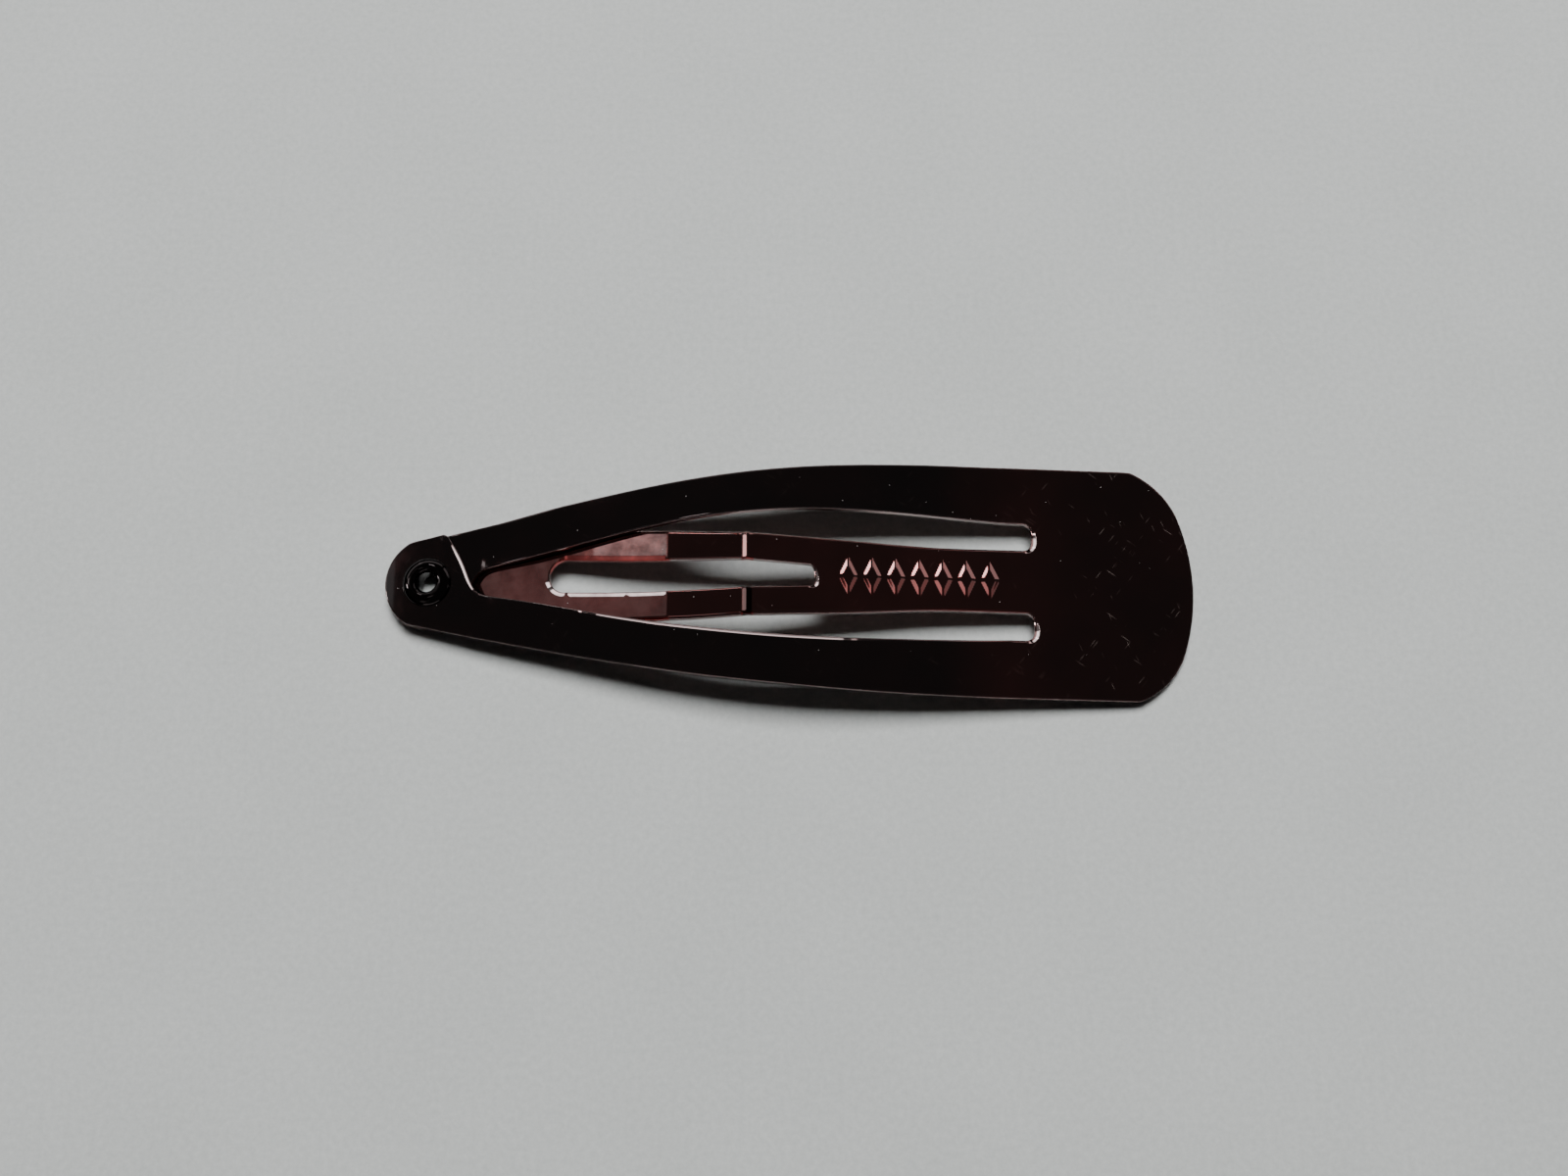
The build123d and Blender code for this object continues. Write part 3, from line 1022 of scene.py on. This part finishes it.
# %% Fine places, and the sheet
FINE_STEP = 0.075
LOZENGE_ROOM = 0.75
FINE_HALF = 1.4
CREASE_OFFS = (-0.16, -0.08, -0.04, 0, 0.04, 0.08, 0.16)
CREASE_RUN = (-3.3, 3.4, 0.12)


def fine_places():
    """Close points over the lozenges and along each crease of the tongue."""
    xs = np.arange(LOZENGE_LAST - LOZENGE_ROOM, LOZENGE_FIRST + LOZENGE_ROOM, FINE_STEP)
    places = [(x, y) for x in xs for y in np.arange(-FINE_HALF, FINE_HALF, FINE_STEP)]
    for crease in crease_places:
        for off in CREASE_OFFS:
            places += [(crease + off, y) for y in np.arange(*CREASE_RUN)]
    return places


near_cut = tuple((x, -y) for x, y in reversed(FAR_CUT))
blank_runs = [(FAR_CUT[1], near_cut[0]), (near_cut[1], FAR_CUT[0])]
plate_tongue = stamped_sheet(
    "plate_tongue_sheet",
    [with_cuts(blank_outline(), blank_runs), (window, np.zeros(len(window), bool))],
    pressed_tongue,
    blank_softness,
    blank_facet,
    plain_tongue,
    fine_places(),
)

# %% [markdown]
# ## The eyelet
# An eyelet is a short tube whose two ends are rolled out over the sheets. A torus on a cylinder
# would only look like one, while a lathe profile gives the rolled lip as it is: down the bore,
# round the foot, up the barrel and round the flange. It stands square to the lapped ends,
# which slope, so the finished ring is tilted with them.

# %% Eyelet profile
EYELET_PROFILE = [
    (0.60, 0.10), (0.605, 0.45), (0.63, 0.66), (0.70, 0.80), (0.82, 0.88), (0.98, 0.905),
    (1.16, 0.87), (1.34, 0.79), (1.47, 0.69), (1.52, 0.61), (1.48, 0.565), (1.00, 0.56),
    (0.99, 0.0), (1.00, -0.52), (1.36, -0.525), (1.41, -0.58), (1.36, -0.72), (1.20, -0.82),
    (1.00, -0.86), (0.82, -0.82), (0.68, -0.70), (0.61, -0.55), (0.60, -0.30),
]


def finer(profile, rounds=2):
    """A closed profile with its corners cut again and again until it is round."""
    points = np.array(profile, float)
    for _ in range(rounds):
        ahead = np.roll(points, -1, axis=0)
        cut = [0.75 * points + 0.25 * ahead, 0.25 * points + 0.75 * ahead]
        points = np.stack(cut, axis=1).reshape(-1, 2)
    return points.tolist()


print("points of the eyelet's profile:", len(finer(EYELET_PROFILE)))


# %% Turning the eyelet
def lathe(name, profile, place, segments=96):
    """Turns a closed profile of (radius, height) round the place's own upright axis."""
    count = len(profile)
    spots = []
    faces = []
    for n in range(segments):
        m = (n + 1) % segments
        a = 2 * math.pi * n / segments
        spots += [place @ Vector((r * math.cos(a), r * math.sin(a), z)) for r, z in profile]
        for i in range(count):
            j = (i + 1) % count
            faces.append((n * count + i, n * count + j, m * count + j, m * count + i))
    return new_piece(name, spots, faces, [0] * len(spots))


eyelet_lean = math.atan(LOBE_SLOPE)
eyelet_place = Matrix.Translation((EYELET_X, 0, lobe_top(EYELET_X, -1)))
eyelet_place @= Matrix.Rotation(-eyelet_lean, 4, "Y")
eyelet = lathe("rolled_eyelet", finer(EYELET_PROFILE), eyelet_place)
print("eyelet axis leans", round(math.degrees(eyelet_lean), 2), "degrees")


# %% [markdown]
# ## Shader maths as expressions
# The finishes need some arithmetic on noise and place. The nodes could be added and linked one
# by one, but a long chain of them is hard to read. So a small class wraps a socket and lets
# plain Python expressions add the Math nodes, and one method adds every other node.

# %% A socket in an expression
class Wire:
    """An output socket that can be added, subtracted and multiplied."""

    def __init__(self, finish, socket):
        self.finish = finish
        self.socket = socket

    def _math(self, kind, first, second):
        return self.finish.node("ShaderNodeMath", {"operation": kind}, [first, second])

    def __add__(self, other):
        return self._math("ADD", self, other)

    def __mul__(self, other):
        return self._math("MULTIPLY", self, other)

    def __sub__(self, other):
        return self._math("SUBTRACT", self, other)

    def __rsub__(self, other):
        return self._math("SUBTRACT", other, self)

    def also(self, output):
        """Another output of the same node."""
        return Wire(self.finish, self.socket.node.outputs[output])

    __radd__ = __add__
    __rmul__ = __mul__


print("made:", Wire.__doc__)


# %% A finish and its nodes
class Finish:
    """A material whose nodes all come from one method."""

    def __init__(self, name):
        self.material = bpy.data.materials.new(name)
        self.material.use_nodes = True
        self.tree = self.material.node_tree
        self.tree.nodes.clear()

    def node(self, kind, settings, inputs, output=0):
        """Adds a node: its settings first, then the values or links of its sockets."""
        node = self.tree.nodes.new(kind)
        for name, value in settings.items():
            setattr(node, name, value)
        pairs = inputs.items() if isinstance(inputs, dict) else enumerate(inputs)
        for key, value in pairs:
            if isinstance(value, Wire):
                self.tree.links.new(value.socket, node.inputs[key])
            else:
                node.inputs[key].default_value = value
        return None if output is None else Wire(self, node.outputs[output])

    def close(self, sockets):
        """Adds the shader with its fixed values and links, and joins it to the output."""
        surface = self.node("ShaderNodeBsdfPrincipled", {}, sockets)
        self.node("ShaderNodeOutputMaterial", {}, {"Surface": surface}, output=None)
        print(self.material.name, "nodes", len(self.tree.nodes))
        return self.material


print("made:", Finish.__doc__)

# %% Mixing, noise and ramps
MIXED_COLOUR = 2


def mix(share, first, second):
    """A colour that goes from first to second."""
    sockets = {"Factor": share, "A": first, "B": second}
    return share.finish.node("ShaderNodeMix", {"data_type": "RGBA"}, sockets, MIXED_COLOUR)


def noise(place, scale, detail=2.0, roughness=0.5):
    """Soft clouds, finer for a larger scale."""
    sockets = {"Vector": place, "Scale": scale, "Detail": detail, "Roughness": roughness}
    return place.finish.node("ShaderNodeTexNoise", {}, sockets)


def ramp(value, low, high):
    """0 below low, 1 above high, straight between."""
    sockets = {"Value": value, "From Min": low, "From Max": high, "To Min": 0.0, "To Max": 1.0}
    return value.finish.node("ShaderNodeMapRange", {"clamp": True}, sockets)


print("a Mix node gives its colour at output", MIXED_COLOUR)

# %% Specks and scratches
CHANCE_STEP = 0.01
SPECK_CORE = 0.6
SCRATCH_LONG, SCRATCH_WIDE, SCRATCH_SIZE = 1.6, 0.14, 0.30


def specks(place, scale, size, share):
    """Round specks in some cells of a random pattern."""
    cells = place.finish.node(
        "ShaderNodeTexVoronoi", {}, {"Vector": place, "Scale": scale}, "Color")
    chance = place.finish.node("ShaderNodeSeparateColor", {}, {"Color": cells})
    chosen = ramp(chance, 1 - share, 1 - share + CHANCE_STEP)
    return chosen * (1 - ramp(cells.also("Distance"), size * SPECK_CORE, size))


def scratches(place, turn, scale, share):
    """Short fine lines along one direction: specks in a place drawn out long and thin."""
    drawn_out = (SCRATCH_LONG / scale, SCRATCH_WIDE / scale, 1)
    sockets = {"Vector": place, "Rotation": (0, 0, turn), "Scale": drawn_out}
    drawn = place.finish.node("ShaderNodeMapping", {"vector_type": "TEXTURE"}, sockets)
    return specks(drawn, 1.0, SCRATCH_SIZE, share)


print("a scratch is", round(SCRATCH_LONG / SCRATCH_WIDE, 1), "times as long as wide")

# %% [markdown]
# ## The lacquer
# The clip is bright steel under a deep cherry lacquer, almost black where it mirrors a dark
# room and pink or red where it mirrors a lamp. A plain dark paint would never turn pink, so
# the body is a dark red metal under a clear coat, in soft clouds. Over the rims the lacquer is
# thin, and on the pressed facets it is gone and the bare metal shows. All of this is placed by
# the rest place that each mesh keeps, so that it stays put when an arm turns.

# %% Thick, thin and missing lacquer
PLATE_STARTS = (13.0, 19.0)
ROOT_STARTS = (9.0, 13.4)
DARK_LACQUER = ((0.018, 0.012, 0.012, 1), (0.030, 0.014, 0.014, 1))
RED_LACQUER = ((0.10, 0.026, 0.022, 1), (0.15, 0.036, 0.032, 1))
THIN_LACQUER, THIN_SHARE = (0.45, 0.30, 0.29, 1), 0.45
BARE_METAL, BARE_SHARE = (0.85, 0.70, 0.69, 1), 0.85
ROOT_RED, PLATE_LESS = 0.75, 0.4
CLOUDS, CLOUD_RANGE = (0.22, 3.0), (0.35, 0.65)
THIN_RANGE, BARE_RANGE = (0.2, 1.0), (1.0, 1.5)


def lacquered_metal(place, along, rim, red_share):
    """The metal's colour as it shows through the lacquer."""
    at_root = ramp(along, *ROOT_STARTS)
    on_plate = ramp(along, *PLATE_STARTS)
    redness = red_share * (1 - at_root) + ROOT_RED * at_root * (1 - PLATE_LESS * on_plate)
    cloud = ramp(noise(place, *CLOUDS), *CLOUD_RANGE)
    thick = mix(redness, mix(cloud, *DARK_LACQUER), mix(cloud, *RED_LACQUER))
    over_rim = mix(ramp(rim, *THIN_RANGE) * THIN_SHARE, thick, THIN_LACQUER)
    return mix(ramp(rim, *BARE_RANGE) * BARE_SHARE, over_rim, BARE_METAL)


print("lacquer thins to", THIN_LACQUER[:3], "over a rim")

# %% [markdown]
# ## Painted red reflection, scuffs and painted shade
# The tongue's slopes and edges that face the near side are painted a bright red, a painted
# reflection: on the tail, at the crimp and on the lozenges. With use the tail has been scuffed in
# smudges, which roughen it and thin its coat, and their darker colour is painted shade. The near
# half of the crimp is painted dark, as shade. These could be painted maps. They are worked out
# from the place along and across the clip instead, as nothing here needs a picture file. A
# distance is squared, so that one ramp does for both of its sides.

# %% Painted red reflection
# The painted red reflection: its colour, its share, and how much of the coat it takes away.
REFLECTION_RED, REFLECTION_SHARE, REFLECTION_COAT = (0.42, 0.045, 0.040, 1), 0.9, 0.95
TAIL_STARTS = (-7.2, -7.4)
CRIMP_SQUARE = (0.16, 0.10)
LOZENGE_STARTS, LOZENGE_SQUARE = (2.3, 2.8), (4.0, 3.0)
NEAR_FACING = (-0.12, -0.36)
TONGUE_SQUARE = (9.0, 8.0)


def painted_red_reflection(finish, along, across):
    """How much painted red reflection a place gets: the tongue's slopes and edges facing the near
    side.
    """
    normal = finish.node("ShaderNodeNewGeometry", {}, {}, "Normal")
    facing = finish.node("ShaderNodeSeparateXYZ", {}, {"Vector": normal}, "Y")
    at_crimp = along - CRIMP_X
    red_reflection = ramp(along, *TAIL_STARTS) + ramp(at_crimp * at_crimp, *CRIMP_SQUARE)
    red_reflection = red_reflection + ramp(along, *LOZENGE_STARTS) * ramp(across * across, *LOZENGE_SQUARE)
    return red_reflection * ramp(facing, *NEAR_FACING) * ramp(across * across, *TONGUE_SQUARE)


# The painted red reflection also lies across the crimp, whose place is printed.
print("lacquer pools round the crimp at x =", round(CRIMP_X, 2))

# %% Scuffs with painted shade, and painted shade on the crimp
# Scuffs on the tail roughen it and thin its coat; their darker colour is painted shade in cloudy
# patches.
SCUFF_SHADE_COLOUR, SCUFF_SHADE_SHARE = (0.070, 0.018, 0.017, 1), 0.35
SMUDGE_COAT, SMUDGE_ROUGH = 0.55, 0.06
SCUFF_SHADE_CLOUDS, SCUFF_SHADE_RANGE = (0.9, 5.0, 0.62), (0.38, 0.66)
SCUFF_STARTS = (-7.40, -7.46)
# Painted shade: the near half of the crimp turns near black and loses most of its coat.
PAINTED_SHADE_COLOUR, CRIMP_SHADE_SHARE, CRIMP_SHADE_COAT = (0.004, 0.003, 0.003, 1), 0.9, 0.8
CRIMP_SHADE_SQUARE, CRIMP_SHADE_SIDE = (0.10, 0.06), (0.0, -0.6)


def scuffs_and_painted_shade(place, along):
    """Cloudy scuffs beyond the bend: rougher, with less coat, and painted darker as shade."""
    return ramp(along, *SCUFF_STARTS) * ramp(noise(place, *SCUFF_SHADE_CLOUDS), *SCUFF_SHADE_RANGE)


def painted_crimp_shade(along, across):
    """Painted shade over the near half of the crimp."""
    at_crimp = along - CRIMP_X
    return ramp(at_crimp * at_crimp, *CRIMP_SHADE_SQUARE) * ramp(across, *CRIMP_SHADE_SIDE)


print("the tail is scuffed beyond x =", SCUFF_STARTS[0])

# %% Scratches and dust
SCRATCHES = ((0.9, 1.3, 0.10), (-0.6, 1.1, 0.09), (2.0, 1.6, 0.08))
SCRATCH_COLOUR, SCRATCH_SHARE = (0.42, 0.37, 0.34, 1), 0.6
SCRATCH_METAL, SCRATCH_ROUGH = 0.5, 0.35
PATCHES, PATCH_RANGE = (0.45, 2.0), (0.48, 0.62)
FEW, MORE_ON_PLATE = 0.15, 0.45
SPECKS = ((2.2, 0.08, 0.05), (3.6, 0.13, 0.03))
DUST_COLOUR, DUST_METAL, DUST_ROUGH = (0.40, 0.37, 0.36, 1), 0.9, 0.5


def scratched(place, along):
    """Fine scratches in patches, most of them on the plate."""
    patch = ramp(noise(place, *PATCHES), *PATCH_RANGE)
    on_plate = ramp(along, *PLATE_STARTS)
    lines = sum(scratches(place, *row) for row in SCRATCHES)
    return ramp(lines * patch * (FEW + MORE_ON_PLATE * on_plate), 0.0, 1.0)


def dusty(place):
    """A few specks of dust of two sizes."""
    return ramp(sum(specks(place, *row) for row in SPECKS), 0.0, 1.0)


print("scratches run in", len(SCRATCHES), "directions")

# %% [markdown]
# ## The layers together
# A lacquered clip is read in layers: the metal's colour, what lies in the lacquer, what lies on
# it, and the gloss over all. A stack of Mix Shaders could hold them, but the export bakes one
# shader best. So every layer is a share from 0 to 1 that changes the colour, the metal, the
# roughness and the clear coat of one shader. A slow wave in the normal bends the mirrored
# edges of the cards, as sprayed lacquer does.

# %% Lacquer
GLOSS, HAZE, HAZE_CLOUDS = 0.05, 0.04, (1.4, 4.0)
WAVE, WAVES = 0.6, (0.9, 1.0)
PEEL, PEELS = 0.05, (5.0, 2.0)


def lacquer(name, red_share, rubbed_and_shaded=0.0, clear=1.0):
    """The finish: how red it is left of the arms' roots, how rubbed and shaded, and how clear it
    is.
    """
    finish = Finish(name)
    place = finish.node("ShaderNodeAttribute", {"attribute_name": "place"}, {}, "Vector")
    rim = finish.node("ShaderNodeAttribute", {"attribute_name": "rim"}, {}, "Fac")
    along = finish.node("ShaderNodeSeparateXYZ", {}, {"Vector": place}, "X")
    across = along.also("Y")
    red_reflection = painted_red_reflection(finish, along, across) * red_share
    scuffed_and_shaded = scuffs_and_painted_shade(place, along) * rubbed_and_shaded
    crimp_shade = painted_crimp_shade(along, across) * rubbed_and_shaded
    scratch = scratched(place, along)
    dust = dusty(place)

    colour = lacquered_metal(place, along, rim, red_share)
    # Painted red reflection on the tongue's slopes and edges that face the near side.
    colour = mix(red_reflection * REFLECTION_SHARE, colour, REFLECTION_RED)
    # Scuffs on the tail, painted darker as shade in cloudy patches.
    colour = mix(scuffed_and_shaded * SCUFF_SHADE_SHARE, colour, SCUFF_SHADE_COLOUR)
    # Painted shade: the near half of the crimp, and a finish that is less clear, are darkened
    # towards near black.
    colour = mix(clear * (1 - CRIMP_SHADE_SHARE * crimp_shade), PAINTED_SHADE_COLOUR, colour)
    colour = mix(scratch * SCRATCH_SHARE, colour, SCRATCH_COLOUR)
    colour = mix(dust, colour, DUST_COLOUR)
    rough = GLOSS + HAZE * noise(place, *HAZE_CLOUDS) + SCRATCH_ROUGH * scratch
    coat = (1 - dust - SMUDGE_COAT * scuffed_and_shaded) * (1 - REFLECTION_COAT * red_reflection) * (1 - CRIMP_SHADE_COAT * crimp_shade)
    relief = noise(place, *WAVES) * WAVE + noise(place, *PEELS) * PEEL
    bump = {"Height": relief, "Strength": 0.35, "Distance": 0.02 * MM}
    return finish.close({
        "Base Color": colour,
        "Metallic": 1 - DUST_METAL * dust - SCRATCH_METAL * scratch,
        "Roughness": rough + DUST_ROUGH * dust + SMUDGE_ROUGH * scuffed_and_shaded,
        "Coat Weight": coat * clear,
        "Coat Roughness": 0.02,
        "Coat IOR": 1.5,
        "Normal": finish.node("ShaderNodeBump", {}, bump),
    })


arm_finish = lacquer("cherry_lacquer_on_arms", 0.08)
for piece, finish in (
    (under_arm, arm_finish),
    (over_arm, arm_finish),
    (plate_tongue, lacquer("cherry_lacquer_on_tongue", 1.0, rubbed_and_shaded=1.0)),
    # The eyelet's finish is less clear: its coat is thinner and its metal is painted darker as
    # shade, so the cards show in it only faintly.
    (eyelet, lacquer("cherry_lacquer_on_eyelet", 0.0, clear=0.3)),
):
    piece.data.materials.append(finish)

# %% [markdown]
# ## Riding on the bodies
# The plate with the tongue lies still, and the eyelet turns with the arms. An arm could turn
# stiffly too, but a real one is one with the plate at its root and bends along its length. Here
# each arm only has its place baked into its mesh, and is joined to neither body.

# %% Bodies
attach(plate_tongue, "blank")
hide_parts("plate_and_tongue")
for piece, node in ((under_arm, "under_arm"), (over_arm, "over_arm")):
    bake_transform(piece)
    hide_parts(node)
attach(eyelet, "arms")
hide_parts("eyelet")

# %% [markdown]
# ## Paper
# The clip lies on plain pale paper, which is matt and lets only its fibres change its tone by a
# hair. A bump could show the fibres, but at this distance a change of tone is all that is
# seen, so fine and coarse noise are added up in its colour and it has no gloss at all.

# %% Floor
FLOOR_REACH = 0.6
PAPER_TONES = ((0.62, 0.645, 0.63, 1), (0.775, 0.795, 0.78, 1))
square = [(-1, -1), (1, -1), (1, 1), (-1, 1)]
floor_mesh = bpy.data.meshes.new("floor")
floor_mesh.from_pydata(
    [(x * FLOOR_REACH, y * FLOOR_REACH, 0) for x, y in square], [], [(0, 1, 2, 3)])
floor = bpy.data.objects.new("floor", floor_mesh)
bpy.context.scene.collection.objects.link(floor)
paper = Finish("pale_paper")
paper_place = paper.node("ShaderNodeTexCoord", {}, {}, "Object")
fibre = noise(paper_place, 2600.0, 5.0, 0.7) * 0.75 + noise(paper_place, 90.0, 4.0) * 0.25
paper_tone = mix(ramp(fibre, 0.3, 0.7), *PAPER_TONES)
floor.data.materials.append(
    paper.close({"Base Color": paper_tone, "Roughness": 1.0, "Specular IOR Level": 0.0}))

# %% [markdown]
# ## Light
# One soft lamp nearly overhead, a little to the far side, lights the paper and gives the short
# soft shadow. A gloss finish shows what stands round it. A picture of a room could be mirrored
# in it, but then nothing could be placed. So the room is kept dark and plain cards stand where
# the finish mirrors them: high ones for the ceiling, the tail, the tongue's far leg and the
# lozenges, and low ones for the crimp, the eyelet's glint, the lozenges' other flanks and each
# bright edge. The cards light no paper, and the lamp isn't seen in the gloss.

# %% A soft light
def soft_light(name, place, aim, size, radiance, in_gloss):
    """A rectangle of light that is seen either in the gloss or by matt surfaces."""
    data = bpy.data.lights.new(name, "AREA")
    data.shape = "RECTANGLE"
    data.size, data.size_y = size
    data.energy = radiance * math.pi * size[0] * size[1]
    lamp = bpy.data.objects.new(name, data)
    lamp.location = place
    lamp.rotation_mode = "QUATERNION"
    lamp.rotation_quaternion = (Vector(place) - Vector(aim)).to_track_quat("Z", "Y")
    lamp.visible_glossy = in_gloss
    lamp.visible_diffuse = not in_gloss
    lamp.visible_camera = False
    bpy.context.scene.collection.objects.link(lamp)


LAMP_AWAY = 0.5
LAMP_TILT = math.radians(20)
LAMP_SIZE, LAMP_RADIANCE = (0.22, 0.20), 20.0
lamp_place = (0, LAMP_AWAY * math.sin(LAMP_TILT), LAMP_AWAY * math.cos(LAMP_TILT))
soft_light("overhead_lamp", lamp_place, (0, 0, 0), LAMP_SIZE, LAMP_RADIANCE, False)
print("the lamp hangs", round(lamp_place[2], 3), "m over the paper")

# %% High cards: name, span in x, span in y, height, radiance
HIGH_CARDS = (
    ("ceiling", (-1.5, 1.5), (-1.5, 1.5), 0.8, 0.072),
    ("tail_card", (-0.305, -0.218), (0.104, 0.1385), 0.4, 0.5),
    ("leg_card", (-0.241, -0.214), (0.127, 0.1395), 0.39, 2.4),
    ("lozenge_card", (-0.200, -0.125), (0.283, 0.322), 0.4, 18.0),
    ("lozenge_low_card", (-0.165, -0.112), (-0.055, -0.015), 0.4, 2.0),
)
for name, x_span, y_span, height, radiance in HIGH_CARDS:
    middle = (sum(x_span) / 2, sum(y_span) / 2, height)
    size = (x_span[1] - x_span[0], y_span[1] - y_span[0])
    soft_light(name, middle, (middle[0], middle[1], 0), size, radiance, True)
print("level cards over the table:", len(HIGH_CARDS))

# %% Low cards: name, azimuth, elevation, size, radiance
CARD_AWAY = 0.5
LOW_CARDS = (
    ("crimp_card", 160.5, 41.5, (0.055, 0.07), 8.0),
    ("eyelet_glint_card", 172, 29, (0.05, 0.05), 60.0),
    ("red_edge_card", 231, 41, (0.12, 0.12), 0.6),
    ("lozenge_right_card", 34, 25, (0.08, 0.10), 1.6),
    ("lozenge_near_card", 358, 37, (0.10, 0.08), 0.6),
    ("end_card", 142, 26, (0.28, 0.12), 1.8),
    ("window_edge_card", 101, 24, (0.48, 0.13), 1.7),
    ("lap_card", 53, 31, (0.22, 0.18), 1.8),
    ("near_card", -90, 18, (0.5, 0.1), 2.2),
)
for name, azimuth, elevation, size, radiance in LOW_CARDS:
    a, e = math.radians(azimuth), math.radians(elevation)
    level = CARD_AWAY * math.cos(e)
    place = (level * math.cos(a), level * math.sin(a), CARD_AWAY * math.sin(e))
    soft_light(name, place, (0, 0, 0), size, radiance, True)
print("cards that face the clip:", len(LOW_CARDS))

# %% The dark room
ROOM_TINT = (0.95, 0.98, 1.0, 1)
ROOM_STRENGTH = 0.009
world = bpy.data.worlds.new("room")
world.use_nodes = True
room = world.node_tree.nodes["Background"].inputs
room["Color"].default_value = ROOM_TINT
room["Strength"].default_value = ROOM_STRENGTH
bpy.context.scene.world = world
print("room strength", ROOM_STRENGTH)

# %% [markdown]
# ## Camera
# The clip is seen from a hand's breadth away, nearly from overhead and a little from its near
# long side. The camera could be set by eye, but a match to a photograph needs numbers that can
# be changed one at a time. So it is given by its distance, its tilt, the place it looks at and
# a focal length in the photograph's own pixels.

# %% Camera
CAMERA_AWAY = 0.110
CAMERA_TILT = math.radians(15)
SENSOR = 36
FOCAL_PIXELS, PHOTO_WIDTH = 1800, 1600
target = Vector((-0.0004, 0.00007, 0))
direction = Vector((0, -math.sin(CAMERA_TILT), math.cos(CAMERA_TILT)))
lens = bpy.data.cameras.new("camera")
lens.sensor_width = SENSOR
lens.lens = SENSOR * FOCAL_PIXELS / PHOTO_WIDTH
lens.clip_start = 0.005
camera = bpy.data.objects.new("camera", lens)
camera.location = target + CAMERA_AWAY * direction
camera.rotation_mode = "QUATERNION"
camera.rotation_quaternion = (camera.location - target).to_track_quat("Z", "Y")
bpy.context.scene.collection.objects.link(camera)
bpy.context.scene.camera = camera
print("focal length", lens.lens, "mm")

# %% [markdown] ## Finish The dressed clip has to keep the solids' size.
